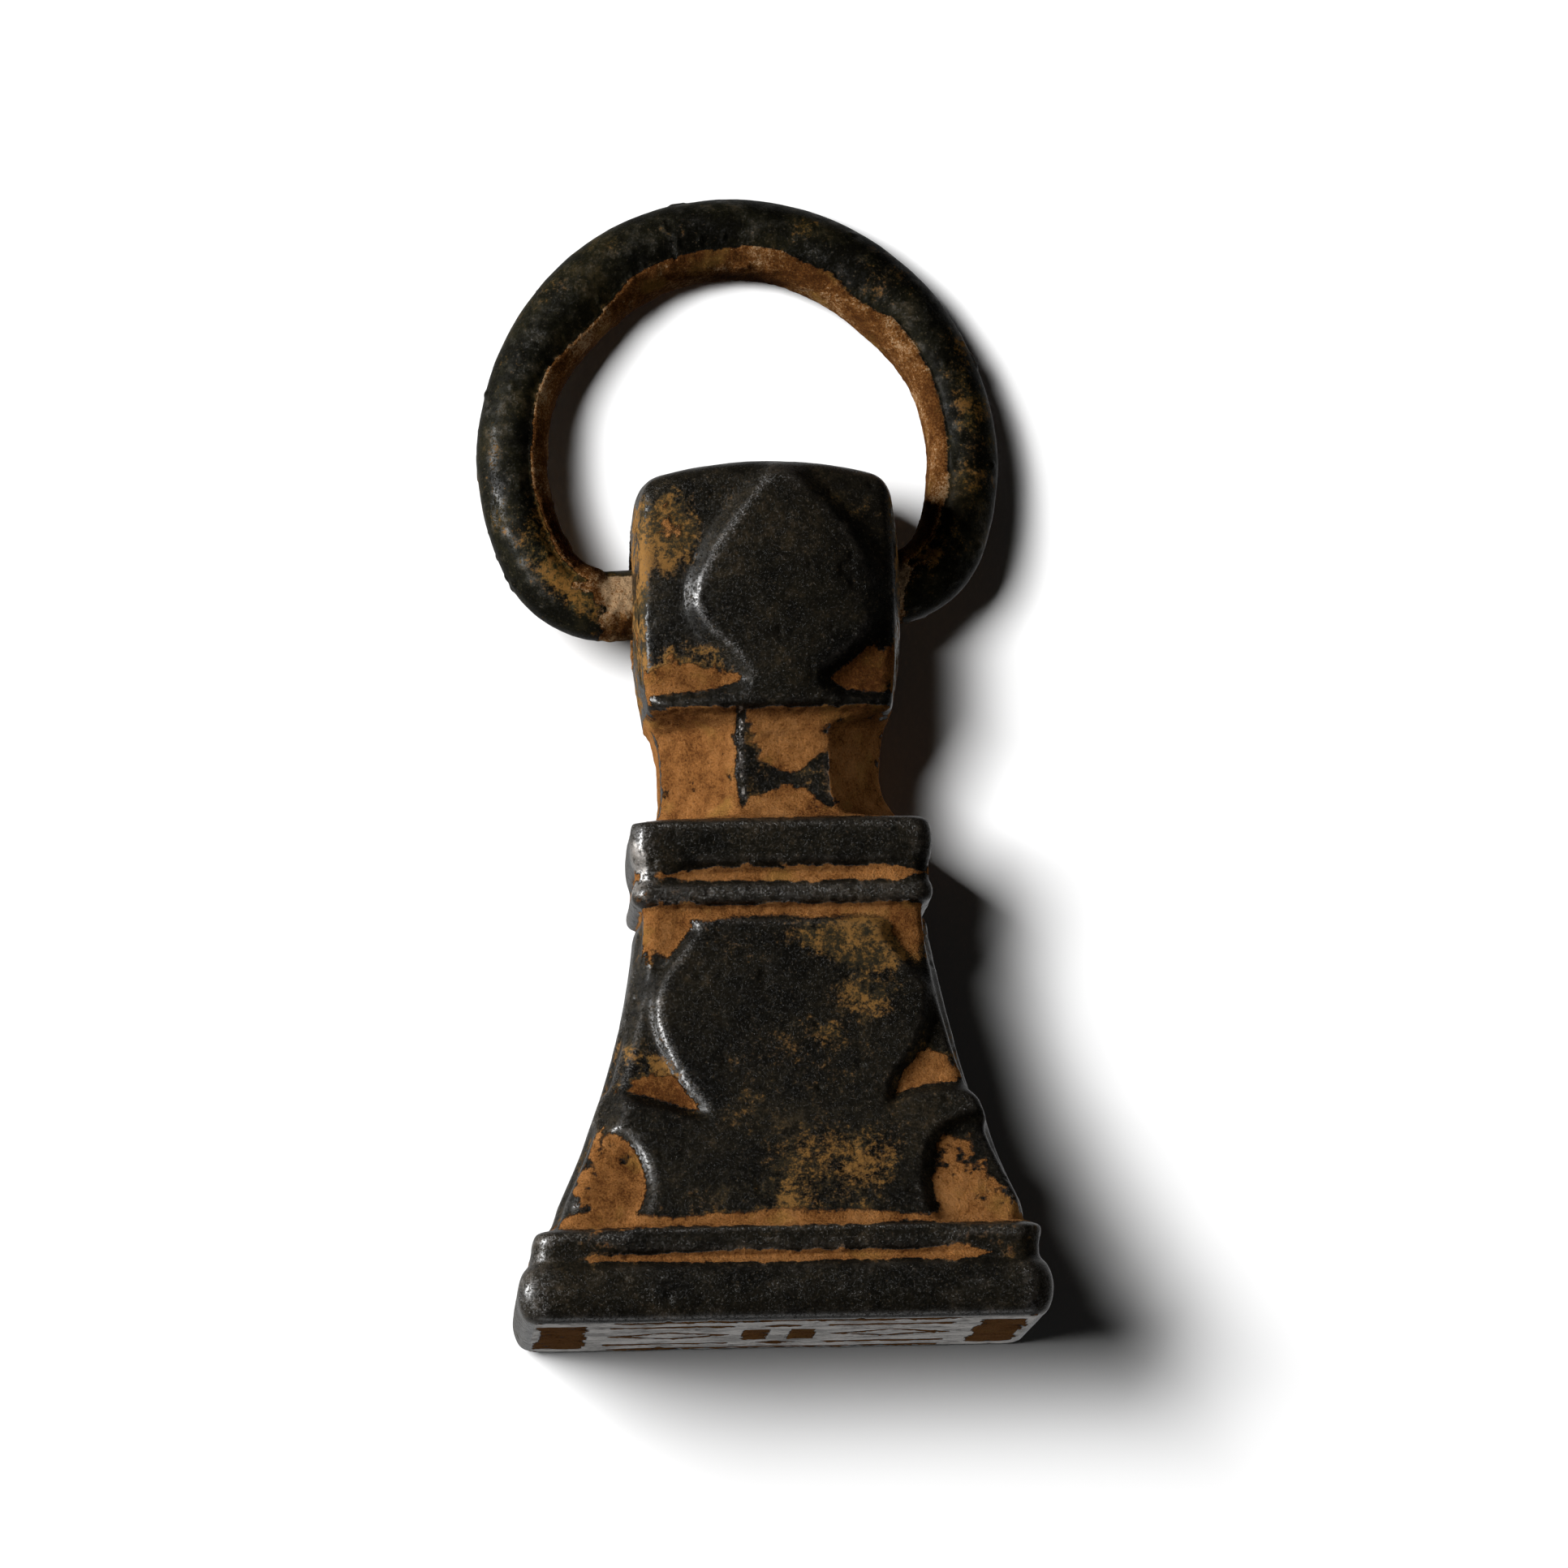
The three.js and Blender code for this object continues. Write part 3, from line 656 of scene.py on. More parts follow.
def seal_masks(points, normals, hollow, wide_hollow, normal_curve):
    """Earth, stain, worn metal and tone on the seal, each from 0 to 1; the tone holds painted shade at two
    places.
    """
    x, s, z = points.T
    broad = layered_noise(points, 1.5, 11) - 0.5
    fine = layered_noise(points, 0.42, 12) - 0.5
    grain = layered_noise(points, 0.16, 13, 2) - 0.5
    front = ramp(normals[:, 2], 0.1, 0.6)
    sideways = ramp(np.abs(normals[:, 0]), 0.6, 0.9)
    relief = inside_relief(points, normals)
    recess = 1 - ramp(relief + 0.16 * fine, -0.24, -0.02)
    bias = -0.16 + 1.9 * np.clip(hollow, -0.12, 0.3) + 1.1 * np.clip(wide_hollow, -0.2, 0.3)
    lip = HEAD_FOOT + 0.12 * fine
    neck = ramp(s, NECK_FOOT - 0.1, NECK_FOOT + 0.1) * (1 - ramp(s, lip - 0.08, lip + 0.04))
    ridge, bow, strip = neck_facets(x, s, z)
    bias += neck * (1.1 - 0.7 * ridge - 1.15 * bow)
    wander = 0.9 * (layered_noise(points, 2.4, 14, 3) - 0.5)
    low_side, high_side = s - BODY_FOOT, BODY_TOP - s
    foot = ramp(low_side, -0.1, 0.02) * (1 - ramp(low_side + wander, 0.1, 0.9))
    collar_foot = ramp(-high_side + wander, -1.2, -0.2) * (1 - ramp(-high_side, -0.1, 0.1))
    bias += 0.6 * foot + 0.55 * collar_foot
    add_groove_earth(bias, points, normals, broad, fine)
    stain = -0.35 + 0.7 * np.clip(wide_hollow, -0.2, 0.3)
    for *place, strength in FRONT_EARTH:
        bias += front * strength * patch(x, s, *place)
    for *place, strength in FRONT_STAIN:
        stain += front * strength * patch(x, s, *place)
    face = ramp(-normals[:, 1], 0.5, 0.9) * (1 - ramp(s, 0.02, 0.035))
    field_half = FACE_HALF - FACE_RIM + 0.15
    sunk = ((s > 0.025) & (s < 0.6) & (np.abs(x) < field_half) & (np.abs(z) < field_half)).astype(float)
    figures = engraving_distance(x, z)
    smear = (1 - ramp(figures, 0.0, 0.35)) * face
    bias += 1.1 * sunk - 0.55 * face + 0.6 * smear
    bore = np.hypot(s - BORE_LEVEL, z) < MOUTH_RADIUS + 0.25
    bias += np.where(bore & (np.abs(x) < HEAD_HALF + HEAD_BULGE) & (s > HEAD_FOOT), 0.45, 0)
    cheek = sideways * ramp(s, HEAD_FOOT, HEAD_FOOT + 0.5) * (1 - ramp(s, 31, 32.5))
    bias += 0.45 * cheek
    stain += 0.5 * cheek + 0.25 * sideways * ramp(s, LIP_FOOT, BODY_FOOT)
    patchy = layered_noise(points, 0.9, 16, 4, 0.75) - 0.5
    value = bias + 0.8 * broad + 0.9 * patchy + 0.9 * fine + 0.55 * grain
    ends = ramp(-high_side + wander, -0.9, -0.3) + 1 - ramp(low_side + wander, 0.2, 0.9)
    bare = np.where((low_side > 0) & (high_side > 0), np.clip(ends, 0, 1), (s < lip).astype(float))
    kept = np.maximum(np.maximum(recess, bare), cheek)
    earth = ramp(value, 0.0, 0.75) * kept
    stain += 0.75 * ramp(value, -0.2, 0.35) * (0.35 + 0.65 * kept) + 0.7 * neck * bow * (1 - strip)
    film = np.clip(stain + 0.9 * broad + 0.8 * fine + 0.4 * grain, 0, 1)
    worn = rubbed_edges(points, relief, normal_curve, fine)
    worn = np.maximum(worn, neck * strip * ramp(grain, -0.25, 0)) * (1 - earth)
    worn = np.maximum(worn, face * (1 - earth))
    # Lowered tone on the head's right and at the left notch is painted shade
    tone = 0.5 + 1.2 * broad + 0.7 * fine - 0.9 * front * patch(x, s, *HEAD_PAINTED_SHADE)
    tone += 0.35 * sunk - 0.4 * front * patch(x, s, *NOTCH_PAINTED_SHADE)
    return {"earth": earth, "stain": film, "worn": worn, "tone": np.clip(tone, 0, 1)}


def seal_frame():
    """Origin and axes of the seal's own frame in the row frame: across, along the level, depth."""
    mount = next(m for m in frame["record"]["mounts"] if m["name"] == "seal_face")
    origin = np.array(mount["pos_m"])
    along = -np.array(mount["axis"])
    across = np.array([1.0, 0.0, 0.0])
    return origin, np.stack([across, along, np.cross(across, along)])


def build_seal(material):
    """The casting: its field as a mesh, smoothed, masked, roughened and placed."""
    wide = np.arange(-BEAD_HALF - 0.7, BEAD_HALF + 0.7 + STEP, STEP)
    level = np.arange(-0.6, HEAD_TOP + 0.6, STEP)
    field = seal_field(wide, level, wide)
    origin = np.array([wide[0], level[0], wide[0]])
    points, quads = surface_net(field, origin)
    solid = (field < 0).astype(np.float32)
    edges = edges_of(quads)
    points = smoothed(points, edges, NET_ROUNDS)
    normals = vertex_normals(points, quads)
    hollows = []
    for size in (NEAR_HOLLOW, WIDE_HOLLOW):
        reach = round(size / STEP)
        around = box_blur(box_blur(solid, reach), reach)
        hollows.append(sampled(around, origin, points) - 0.5)
    rounded = smoothed(points, edges, CURVE_ROUNDS)
    curve = ((rounded - points) * normals).sum(1) / CURVE_SCALE
    masks = seal_masks(points, normals, *hollows, curve)
    earth = masks["earth"]
    lift = CASTING_WAVE * (layered_noise(points, 2.6, 21) - 0.5)
    lift += CASTING_GRAIN * (layered_noise(points, 0.7, 22) - 0.5)
    pits = ramp(value_noise(points, 0.4, 23), 0.8, 0.95)
    lift -= PIT_DEPTH * pits * (1 - 0.5 * earth)
    lift += earth * (EARTH_LIFT + EARTH_ROUGH * (layered_noise(points, 0.3, 24, 3) - 0.4))
    points = points + normals * lift[:, None]
    level = points[:, 1]
    points[:, 0] += WAIST_SHIFT * ramp(level, *SHIFT_RISE) * (1 - ramp(level, *SHIFT_FALL))
    place, axes = seal_frame()
    return mesh_object(
        "bronze_casting", points * MM @ axes + place, quads,
        masks, material, "seal", "seal_body",
    )


# The ring
def arc(centre, reach_x, reach_y, start, end, count):
    """Points of an elliptic arc between two angles in degrees."""
    angle = np.radians(np.linspace(start, end, count))
    return np.stack([centre[0] + reach_x * np.cos(angle), centre[1] + reach_y * np.sin(angle)], axis=1)


def ring_line(count):
    """Even points of the ring's middle line, from the right trunnion over the crown to the left one."""
    rise = BEND_RADIUS + math.sqrt((HOOP_HALF - BEND_RADIUS) ** 2 - BEND_REACH**2)
    turn = math.degrees(math.atan2(rise - BEND_RADIUS, BEND_REACH))
    right = np.concatenate([
        np.array([[TRUNNION_END, 0.0], [BEND_REACH - 0.01, 0.0]]),
        arc((BEND_REACH, BEND_RADIUS), BEND_RADIUS, BEND_RADIUS, -90, -turn, 60),
        arc((0, rise), HOOP_HALF, HOOP_HALF, -turn, 0, 60)[1:],
        arc((0, rise), HOOP_HALF, CROWN_REACH, 0, 90, 120)[1:],
    ])
    left = right[-2::-1] * (-1, 1)
    line = np.concatenate([right, left])
    length = np.concatenate([[0], np.cumsum(np.linalg.norm(np.diff(line, axis=0), axis=1))])
    even = np.linspace(0, length[-1], count)
    return np.stack([np.interp(even, length, line[:, k]) for k in range(2)], axis=1), rise


# Section of the ring as shares of its half sizes: outward, up
SECTION_SHARES = [
    (1, 0), (0.9, 0.46), (0.52, 0.86), (0, 1), (-0.45, 0.94), (-0.82, 0.72), (-0.98, 0.38),
    (-1, 0), (-0.99, -0.4), (-0.84, -0.78), (-0.45, -0.97), (0, -1), (0.5, -0.84), (0.88, -0.46),
]


def ring_mesh():
    """Points, quads, loops of points, section shares and fullness: 0 on trunnions, 1 on the hoop."""
    count = 1000
    around = 112
    line, rise = ring_line(count)
    section = smooth_outline(SECTION_SHARES, 24)
    turn = np.unwrap(np.arctan2(section[:, 1], section[:, 0]))
    even = np.linspace(turn[0], turn[0] + 2 * math.pi, around, endpoint=False)
    loop_turn = np.append(turn, turn[0] + 2 * math.pi)
    closed = np.concatenate([section, section[:1]])
    section = np.stack([np.interp(even, loop_turn, closed[:, k]) for k in range(2)], axis=1)
    along = np.gradient(line, axis=0)
    for _ in range(6):
        along[1:-1] = (along[:-2] + along[1:-1] + along[2:]) / 3
    along /= np.linalg.norm(along, axis=1, keepdims=True)
    outward = np.stack([along[:, 1], -along[:, 0]], axis=1)
    full = ramp(np.abs(line[:, 0]), SHOULDER, SHOULDER + SHOULDER_TAPER)
    full = np.where(line[:, 1] > rise, 1, full)
    out = section[:, 0] * RING_WIDTH / 2
    inner = np.where(out < 0, 1, 0)[None, :] * CROWN_SHARE * ramp(line[:, 1], rise + 3, rise + 7)[:, None]
    up = section[:, 1] * RING_THICKNESS / 2
    angle = np.arctan2(section[:, 1], section[:, 0])
    out = (1 - full)[:, None] * TRUNNION_RADIUS * np.cos(angle) + full[:, None] * out * (1 + inner)
    up = (1 - full)[:, None] * TRUNNION_RADIUS * np.sin(angle) + full[:, None] * up
    flat = line[:, None] + outward[:, None] * out[:, :, None]
    points = np.concatenate([flat, up[:, :, None]], axis=2).reshape(-1, 3)
    index = np.arange(count * around).reshape(count, around)
    here, there = index[:-1], index[1:]
    quads = np.stack([here, np.roll(here, -1, 1), np.roll(there, -1, 1), there], axis=2).reshape(-1, 4)
    shares = np.tile(section[None], (count, 1, 1)).reshape(-1, 2)
    return points, quads, index, shares, np.repeat(full, around)


# Ochre and green-brown blotches on the ring, in its own frame: across, outward, reaches, strength
RING_STAIN = [
    (-7.5, 2.6, 1.8, 2.3, 1.2), (-6.5, 0.8, 1.7, 1.7, 1.6), (-9.4, 4.8, 1.0, 2.4, 0.5),
    (-8.4, 9.6, 1.0, 1.1, 0.6), (-6.6, 12.2, 1.0, 0.8, 0.5), (8.8, 8.4, 1.4, 3.0, 0.7),
    (8.9, 4.8, 1.5, 2.8, 0.65), (7.5, 1.6, 1.4, 1.4, 0.8), (6.0, 12.4, 2.6, 1.8, 0.75),
    (3.2, 14.0, 1.4, 0.8, 0.6), (-1.6, 14.4, 1.6, 0.8, 0.65), (-4.0, 13.8, 0.8, 0.6, 0.5),
]


def ring_masks(points, shares, full):
    """Earth, stain, worn metal and tone on the ring, each from 0 to 1."""
    x, y, z = points.T
    broad = layered_noise(points, 1.6, 31) - 0.5
    fine = layered_noise(points, 0.4, 32) - 0.5
    grain = layered_noise(points, 0.16, 33, 2) - 0.5
    chipped = patch(x, y, -5.3, 10.9, 2.4, 2.4) + 0.8 * patch(x, y, 5.0, 11.2, 1.4, 1.4)
    edge = -shares[:, 0] + 0.14 * broad + 0.08 * fine
    edge -= 0.25 * chipped * ramp(shares[:, 1], 0, 0.3)
    wall = ramp(edge, 0.4, 0.6) * full
    stub = 1 - full
    under = ramp(-z, 0.2, 1.2)
    ends = ramp(1.6 - y, 0, 1.2) * ramp(-shares[:, 0], -0.5, 0.2)
    top_of_stub = stub * ramp(y, 0.6, 1.0)
    value = -0.35 + 1.2 * wall + 0.95 * stub + 0.25 * under + 0.75 * ends - 0.9 * top_of_stub
    value += 0.5 * broad + 0.6 * fine + 0.4 * grain
    earth = ramp(value, 0.12, 0.5)
    stain = -0.28 + 0.7 * ramp(value, -0.15, 0.25)
    for *place, strength in RING_STAIN:
        stain += strength * patch(x, y, *place)
    film = np.clip(stain + 1.1 * broad + 1.1 * fine + 0.5 * grain, 0, 1)
    worn = 0.35 * ramp(fine + 0.3 * shares[:, 1], 0.2, 0.6) * (1 - earth)
    pale = stub * ramp(x, -6.1, -5.6) * ramp(y, -1.0, -0.2)
    tone = np.clip(0.5 + 1.7 * broad + fine + 0.9 * pale - 0.25 * wall, 0, 1)
    return {"earth": earth, "stain": film, "worn": worn, "tone": tone}


def turned(points, droop):
    """Ring points in the row frame's directions, hanging by that angle from level."""
    turns = Matrix.Rotation(-droop, 3, "X") @ Matrix.Rotation(math.radians(RING_LEAN), 3, "Y")
    turns = turns @ Matrix.Rotation(math.radians(RING_SKEW), 3, "Z")
    return points @ np.array(turns).T


def build_ring(material):
    """The ring, laid down on its hinge until it meets the floor, with its trunnions' ends closed."""
    points, quads, index, shares, full = ring_mesh()
    edges = edges_of(quads)
    normals = vertex_normals(points, quads)
    masks = ring_masks(points, shares, full)
    earth = masks["earth"]
    lift = RING_WAVE * (layered_noise(points, 3.4, 41, 2) - 0.5)
    lift += RING_GRAIN * (layered_noise(points, 0.9, 42) - 0.5)
    lift += RING_CRUST * (1 - earth) * full * ramp(-shares[:, 0], -0.1, 0.6)
    lift += earth * (RING_EARTH_ROUGH * (layered_noise(points, 0.3, 43, 3) - 0.5))
    lift -= RING_PIT_DEPTH * ramp(value_noise(points, 0.45, 44), 0.8, 0.95)
    points = smoothed(points + normals * lift[:, None], edges, 1)
    joint = next(j for j in frame["joints"] if j["name"] == "ring_swing")
    pivot = np.array(joint["pos_m"]) - (RING_PLAY * MM, 0, 0)
    level, steep = 0.0, math.radians(STEEPEST_DROOP)
    for _ in range(HALVINGS):
        middle = (level + steep) / 2
        if turned(points, middle)[:, 2].min() * MM + pivot[2] > 0:
            level = middle
        else:
            steep = middle
    placed = turned(points, level) * MM + pivot
    centres = np.array([placed[index[0]].mean(0), placed[index[-1]].mean(0)])
    placed = np.concatenate([placed, centres])
    first, last = len(points), len(points) + 1
    fans = [[first, a, b] for a, b in zip(index[0], np.roll(index[0], -1))]
    fans += [[last, b, a] for a, b in zip(index[-1], np.roll(index[-1], -1))]
    extended = {key: np.append(values, [0.5, 0.5]) for key, values in masks.items()}
    return mesh_object(
        "bronze_ring", placed, quads, extended, material, "ring", "suspension_ring", fans
    )


# Materials
def node(tree, kind, inputs=None, **settings):
    """A shader node with its settings, and its inputs linked to sockets or set to values."""
    made = tree.nodes.new("ShaderNode" + kind)
    for key, value in settings.items():
        setattr(made, key, value)
    for key, value in (inputs or {}).items():
        if isinstance(value, bpy.types.NodeSocket):
            tree.links.new(value, made.inputs[key])
        else:
            made.inputs[key].default_value = value
    return made


def noise(tree, place, scale, detail, rough):
    inputs = {"Vector": place, "Scale": scale, "Detail": detail, "Roughness": rough}
    return node(tree, "TexNoise", inputs).outputs["Fac"]


def maths(tree, operation, a, b):
    return node(tree, "Math", {0: a, 1: b}, operation=operation).outputs[0]


def between(tree, value, low, high, to_low=0.0, to_high=1.0):
    """The value carried smoothly from one range to another."""
    inputs = {"Value": value, "From Min": low, "From Max": high, "To Min": to_low, "To Max": to_high}
    return node(tree, "MapRange", inputs, interpolation_type="SMOOTHSTEP").outputs[0]


def mixed(tree, share, a, b):
    return node(tree, "Mix", {0: share, 2: a, 3: b}, data_type="FLOAT").outputs[0]


def mixed_colour(tree, share, a, b):
    a, b = ((*colour, 1) if isinstance(colour, tuple) else colour for colour in (a, b))
    return node(tree, "Mix", {0: share, 6: a, 7: b}, data_type="RGBA").outputs[2]


def colours(tree, value, stops):
    """A colour ramp with stops of (place, colour)."""
    made = node(tree, "ValToRGB", {"Fac": value})
    ramp_stops = made.color_ramp.elements
    while len(ramp_stops) < len(stops):
        ramp_stops.new(0.5)
    for stop, (place, colour) in zip(ramp_stops, stops):
        stop.position = place
        stop.color = (*colour, 1)
    return made.outputs["Color"]


def attribute(tree, name):
    return node(tree, "Attribute", attribute_name=name).outputs["Fac"]


# Looks: colour ramps, range of roughness and glint of the patina
BODY_LOOK = {
    "patina": [
        (0.0, (0.0015, 0.0015, 0.0015)), (0.45, (0.0036, 0.0032, 0.0024)),
        (0.68, (0.0078, 0.0065, 0.0042)), (1.0, (0.03, 0.021, 0.011)),
    ],
    "film": [(0.2, (0.02, 0.016, 0.008)), (0.5, (0.065, 0.038, 0.012)), (0.8, (0.17, 0.084, 0.022))],
    "earth": [
        (0.1, (0.07, 0.024, 0.006)), (0.4, (0.17, 0.067, 0.018)),
        (0.65, (0.23, 0.095, 0.026)), (0.95, (0.33, 0.15, 0.05)),
    ],
    "rough": (0.22, 0.34),
    "glint": 0.09,
}
RING_LOOK = {
    "patina": [
        (0.0, (0.0013, 0.0013, 0.001)), (0.45, (0.0032, 0.003, 0.0018)),
        (0.65, (0.0065, 0.006, 0.003)), (1.0, (0.028, 0.02, 0.008)),
    ],
    "film": [(0.2, (0.022, 0.02, 0.008)), (0.5, (0.075, 0.044, 0.01)), (0.8, (0.16, 0.075, 0.017))],
    "earth": [
        (0.1, (0.05, 0.017, 0.004)), (0.4, (0.13, 0.05, 0.012)),
        (0.65, (0.19, 0.08, 0.022)), (0.95, (0.47, 0.31, 0.17)),
    ],
    "rough": (0.3, 0.42),
    "glint": 0.03,
}
# Colour of pale specks in the patina: grains, and partly painted glints
SPECK_AND_GLINT_COLOUR = (0.07, 0.055, 0.035)
RUBBED_COLOUR = (0.05, 0.042, 0.035)
POLISHED_LIGHT = (0.55, 0.52, 0.49)
POLISHED_DARK = (0.1, 0.085, 0.07)
OCHRE_COLOUR = (0.3, 0.17, 0.04)
PIT_COLOUR = (0.035, 0.018, 0.008)
# Heights of the bumps in the materials, in millimetres
CRYSTAL_HEIGHT = 0.02
CLOD_HEIGHT = 0.16


def weighed(tree, *terms):
    """Sum of (socket, weight, middle): each socket less its middle, times its weight."""
    total = None
    for socket, weight, middle in terms:
        term = maths(tree, "MULTIPLY", maths(tree, "SUBTRACT", socket, middle), weight)
        total = term if total is None else maths(tree, "ADD", total, term)
    return total


def bronze(name, look):
    """Dark patina with fine grains, pale specks that are partly painted glints, glossy ridges, thin ochre
    film and rough earth in the hollows.
    """
    material = bpy.data.materials.new(name)
    material.use_nodes = True
    tree = material.node_tree
    tree.nodes.clear()
    coordinates = node(tree, "TexCoord").outputs["Object"]
    in_millimetres = {0: coordinates, "Scale": 1 / MM}
    place = node(tree, "VectorMath", in_millimetres, operation="SCALE").outputs[0]
    earth, stain, worn, tone = (attribute(tree, key) for key in ("earth", "stain", "worn", "tone"))
    clouds = noise(tree, place, 0.55, 3.0, 0.6)
    blotches = noise(tree, place, 1.6, 6.0, 0.7)
    mottle = noise(tree, place, 4.5, 6.0, 0.75)
    grain = noise(tree, place, 11.0, 4.0, 0.75)

    soil_terms = weighed(tree, (earth, 1.0, 0.0), (mottle, 1.3, 0.5), (grain, 0.8, 0.5))
    soil = between(tree, soil_terms, 0.3, 0.65)
    cover_terms = weighed(tree, (stain, 1.0, 0.0), (mottle, 1.9, 0.5), (grain, 1.6, 0.5))
    film = between(tree, cover_terms, 0.25, 1.0)

    dark_share = weighed(tree, (tone, 0.5, 0.0), (mottle, 0.9, 0.1), (grain, 0.3, 0.5))
    patina = colours(tree, dark_share, look["patina"])
    # Pale specks in the patina: some grains, and painted glints that stand in for sparkle
    cells = node(tree, "TexVoronoi", {"Vector": place, "Scale": 17.0}).outputs["Color"]
    chance = node(tree, "SeparateColor", {"Color": cells}).outputs[0]
    speck_and_glint = between(tree, chance, 0.95, 1.0, 0.0, 0.3)
    patina = mixed_colour(tree, speck_and_glint, patina, SPECK_AND_GLINT_COLOUR)
    rubbed = maths(tree, "MULTIPLY", worn, between(tree, mottle, 0.35, 0.6, 0.35, 1.0))
    metal = mixed_colour(tree, maths(tree, "MULTIPLY", rubbed, 0.25), patina, RUBBED_COLOUR)
    bare = between(tree, weighed(tree, (worn, 1.0, 0.0), (mottle, 0.3, 0.5)), 0.8, 0.95)
    streaks = between(tree, weighed(tree, (clouds, 1.0, 0.0), (mottle, 0.8, 0.5)), 0.35, 0.65)
    polished = mixed_colour(tree, streaks, POLISHED_LIGHT, POLISHED_DARK)
    metal = mixed_colour(tree, bare, metal, polished)
    film_terms = weighed(
        tree, (clouds, 1.0, 0.0), (mottle, 0.9, 0.5), (grain, 0.6, 0.5), (stain, 0.12, 0.5)
    )
    film_share = between(tree, film_terms, 0.3, 0.75)
    film_colour = colours(tree, film_share, look["film"])
    metal = mixed_colour(tree, maths(tree, "MULTIPLY", film, 0.85), metal, film_colour)

    earth_terms = weighed(
        tree, (blotches, 0.45, 0.0), (grain, 1.6, 0.5), (mottle, 0.5, 0.5), (tone, 0.45, 0.5)
    )
    earth_share = between(tree, earth_terms, -0.19, 0.54)
    soil_colour = colours(tree, earth_share, look["earth"])
    ochre = between(tree, clouds, 0.54, 0.7, 0.0, 0.35)
    soil_colour = mixed_colour(tree, ochre, soil_colour, OCHRE_COLOUR)
    pits = between(tree, grain, 0.33, 0.24, 0.0, 0.5)
    soil_colour = mixed_colour(tree, pits, soil_colour, PIT_COLOUR)
    colour = mixed_colour(tree, soil, metal, soil_colour)

    smooth = between(tree, mottle, 0.35, 0.65, *look["rough"])
    smooth = mixed(tree, bare, smooth, 0.4)
    matt = maths(tree, "MAXIMUM", soil, maths(tree, "MULTIPLY", film, 0.75))
    rough = mixed(tree, matt, smooth, 0.95)
    glint = mixed(tree, matt, mixed(tree, rubbed, look["glint"], 0.8), 0.03)
    metallic = maths(tree, "MULTIPLY", mixed(tree, bare, 0.0, 0.85), maths(tree, "SUBTRACT", 1.0, soil))

    sparse = maths(tree, "ADD", between(tree, grain, 0.5, 0.72), maths(tree, "MULTIPLY", grain, 0.4))
    crystals = node(tree, "Bump", {
        "Height": sparse, "Strength": 0.6, "Distance": CRYSTAL_HEIGHT * MM,
    }).outputs[0]
    clods = maths(tree, "MULTIPLY", soil, maths(tree, "ADD", mottle, maths(tree, "MULTIPLY", grain, 0.6)))
    surface = node(tree, "Bump", {
        "Height": clods, "Strength": 1.0, "Distance": CLOD_HEIGHT * MM, "Normal": crystals,
    }).outputs[0]
    shader = node(tree, "BsdfPrincipled", {
        "Base Color": colour, "Roughness": rough, "Metallic": metallic, "Normal": surface,
        "Specular IOR Level": glint,
    })
    output = node(tree, "OutputMaterial")
    tree.links.new(shader.outputs[0], output.inputs["Surface"])
    return material


# Floor, light and camera
# The floor ends before it gets dark, so that it runs into the white room in low views
FLOOR_HALF = 0.3


def build_floor():
    material = bpy.data.materials.new("studio_white")
    material.use_nodes = True
    shader = material.node_tree.nodes["Principled BSDF"]
    shader.inputs["Base Color"].default_value = (0.9, 0.9, 0.9, 1)
    shader.inputs["Roughness"].default_value = 0.9
    corners = [(x * FLOOR_HALF, y * FLOOR_HALF, 0) for x, y in ((-1, -1), (1, -1), (1, 1), (-1, 1))]
    mesh = bpy.data.meshes.new("studio_floor")
    mesh.from_pydata(corners, [], [(0, 1, 2, 3)])
    mesh.materials.append(material)
    floor = new_object("studio_floor", mesh)
    floor.visible_diffuse = False
    floor.visible_glossy = False
    floor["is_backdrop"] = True
    return floor


# Lamps: azimuth from +X towards +Y and elevation, then distance, width, height and power
KEY_LIGHT = (165, 20, 0.5, 0.2, 0.2, 7.6)
FILL_LIGHT = (5, 15, 0.6, 0.4, 0.3, 1.2)
FRONT_LIGHT = (268, 8, 0.6, 0.5, 0.3, 0.7)
FLOOR_LIGHT = (146, 66, 0.5, 0.14, 0.14, 3.5)


def area_light(name, azimuth, elevation, distance, width, height, power, receivers, shines=True):
    """A soft lamp that looks at the object and lights only its receivers."""
    light = bpy.data.lights.new(name, "AREA")
    light.shape = "RECTANGLE"
    light.size = width
    light.size_y = height
    light.energy = power
    lamp = new_object(name, light)
    a, e = math.radians(azimuth), math.radians(elevation)
    away = Vector((math.cos(a) * math.cos(e), math.sin(a) * math.cos(e), math.sin(e)))
    lamp.location = away * distance
    lamp.rotation_mode = "QUATERNION"
    lamp.rotation_quaternion = away.to_track_quat("Z", "Y")
    lamp.light_linking.receiver_collection = receivers
    lamp.visible_glossy = shines


# Camera: metres, degrees and millimetres of the lens and sensor
CAMERA_DISTANCE = 0.45
CAMERA_PITCH = 3.35
CAMERA_ROLL = 2.0
CAMERA_SPIN = 0.84
CAMERA_AIM = (0.0011, -0.00002, 0.006)
CAMERA_LENS = 269.9
CAMERA_SENSOR = 36


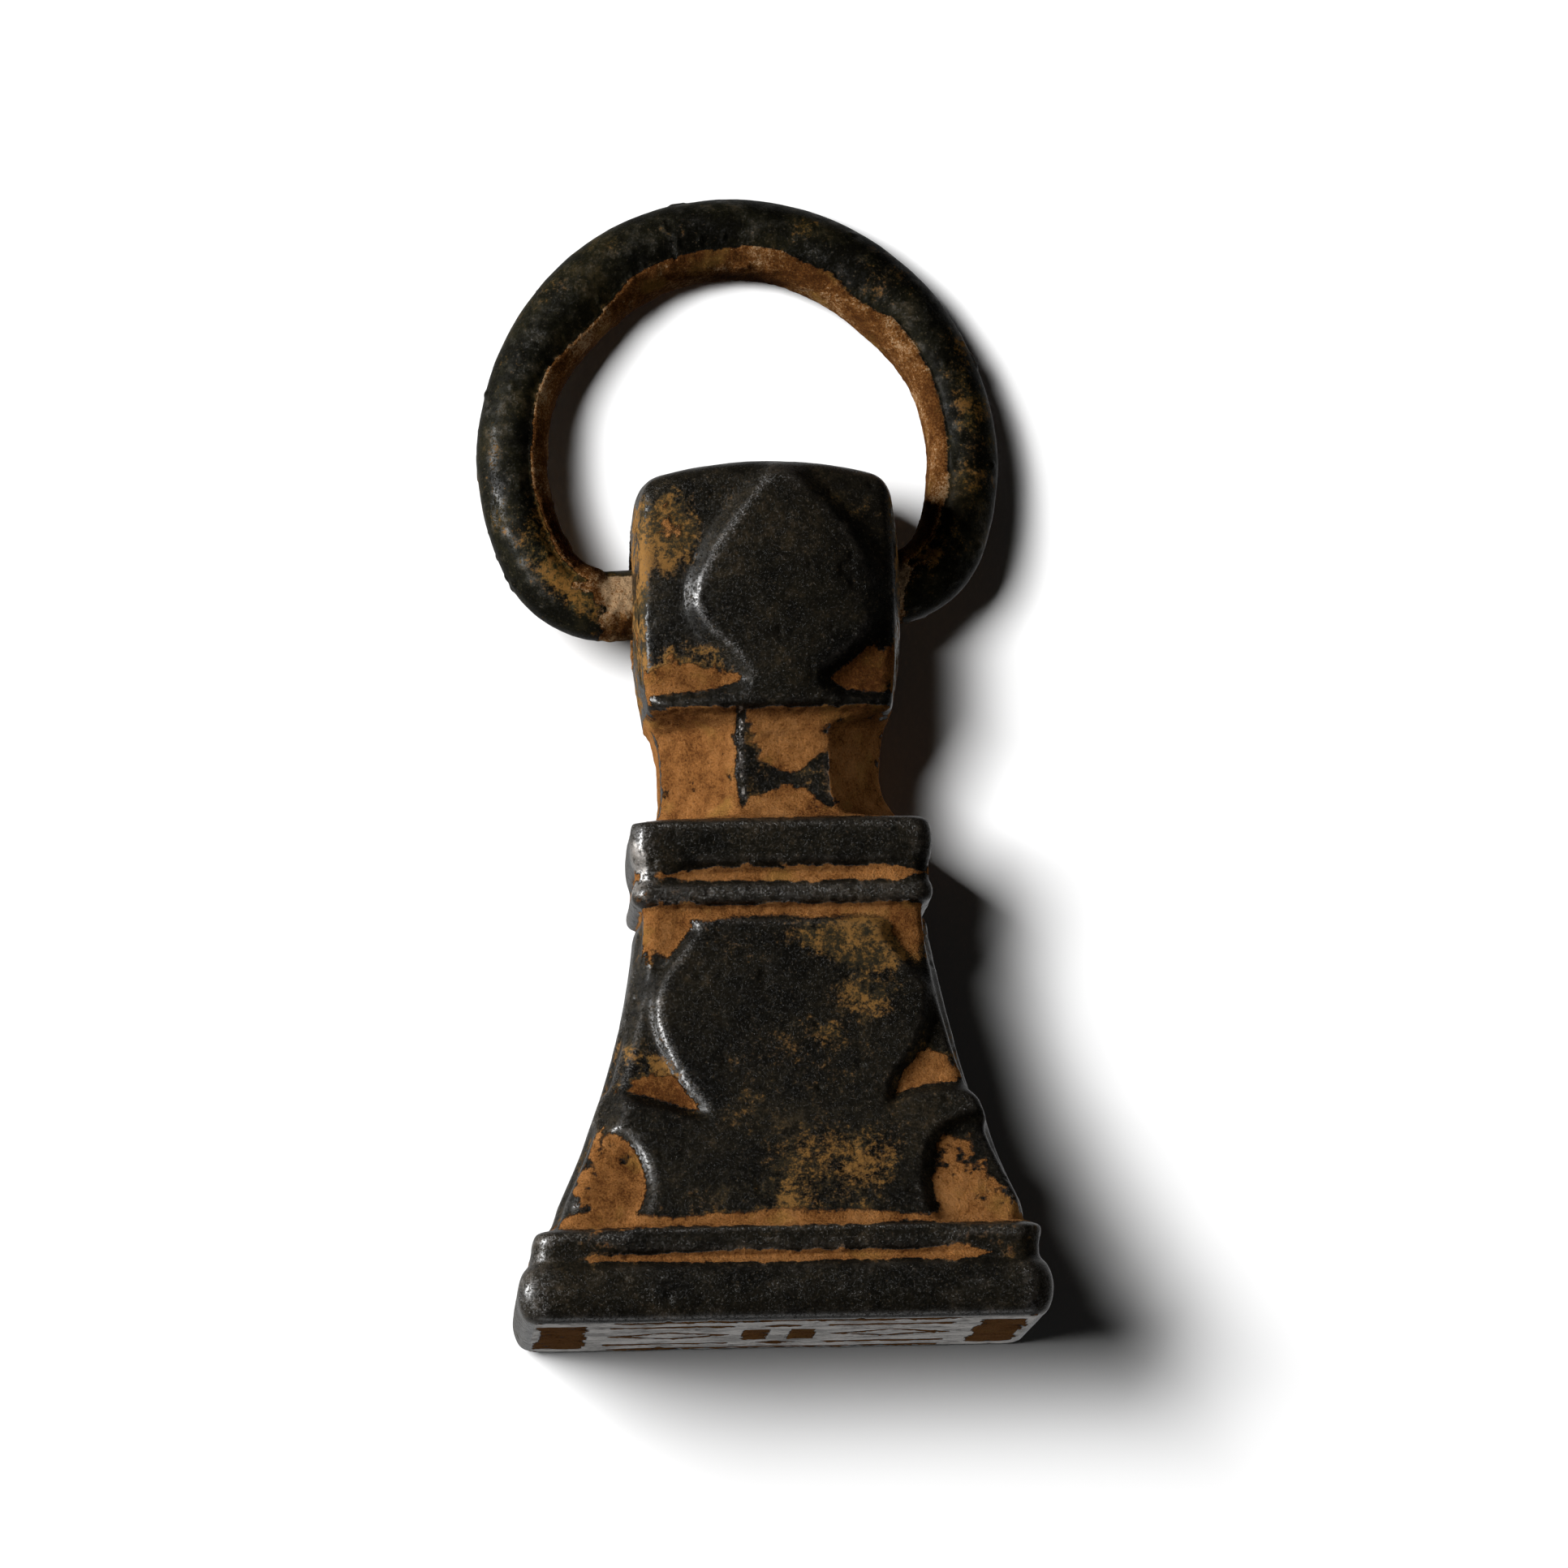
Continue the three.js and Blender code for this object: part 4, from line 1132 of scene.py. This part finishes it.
def build_camera():
    camera = bpy.data.cameras.new("camera")
    camera.sensor_width = CAMERA_SENSOR
    camera.lens = CAMERA_LENS
    camera.clip_start = 0.01
    camera.clip_end = 10
    seen = new_object("camera", camera)
    pitch, roll, spin = (math.radians(v) for v in (CAMERA_PITCH, CAMERA_ROLL, CAMERA_SPIN))
    back = Vector((-math.sin(roll), math.sin(pitch) * math.cos(roll), math.cos(pitch) * math.cos(roll)))
    right = Vector((0, 1, 0)).cross(back).normalized()
    up = back.cross(right)
    turned_right = math.cos(spin) * right - math.sin(spin) * up
    turned_up = math.sin(spin) * right + math.cos(spin) * up
    axes = Matrix((turned_right, turned_up, back)).transposed()
    seen.rotation_mode = "QUATERNION"
    seen.rotation_quaternion = axes.to_quaternion()
    seen.location = Vector(CAMERA_AIM) + back * CAMERA_DISTANCE
    bpy.context.scene.camera = seen


def build_light(floor):
    on_floor = bpy.data.collections.new("floor_receivers")
    on_floor.objects.link(floor)
    on_object = bpy.data.collections.new("object_receivers")
    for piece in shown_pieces():
        on_object.objects.link(piece)
    area_light("key_light", *KEY_LIGHT, on_object)
    area_light("fill_light", *FILL_LIGHT, on_object, shines=False)
    area_light("front_light", *FRONT_LIGHT, on_object)
    area_light("floor_light", *FLOOR_LIGHT, on_floor)
    bpy.context.scene.view_settings.view_transform = "Standard"


FLOOR_GLOW = 0.45
ROOM_GLOW = 0.008


def build_room():
    """A room that looks white, lights the object faintly from above and glows a little below it."""
    world = bpy.data.worlds.new("studio")
    world.use_nodes = True
    tree = world.node_tree
    direction = node(tree, "TexCoord").outputs["Generated"]
    height = node(tree, "SeparateXYZ", {"Vector": direction}).outputs["Z"]
    glow = between(tree, height, -1.0, -0.2, FLOOR_GLOW, ROOM_GLOW)
    seen = node(tree, "LightPath").outputs["Is Camera Ray"]
    background = tree.nodes["Background"]
    background.inputs["Color"].default_value = (1, 1, 1, 1)
    tree.links.new(mixed(tree, seen, glow, 1.0), background.inputs["Strength"])
    bpy.context.scene.world = world


build_camera()
floor = build_floor()
build_seal(bronze("bronze_patina", BODY_LOOK))
build_ring(bronze("ring_patina", RING_LOOK))
build_light(floor)
build_room()
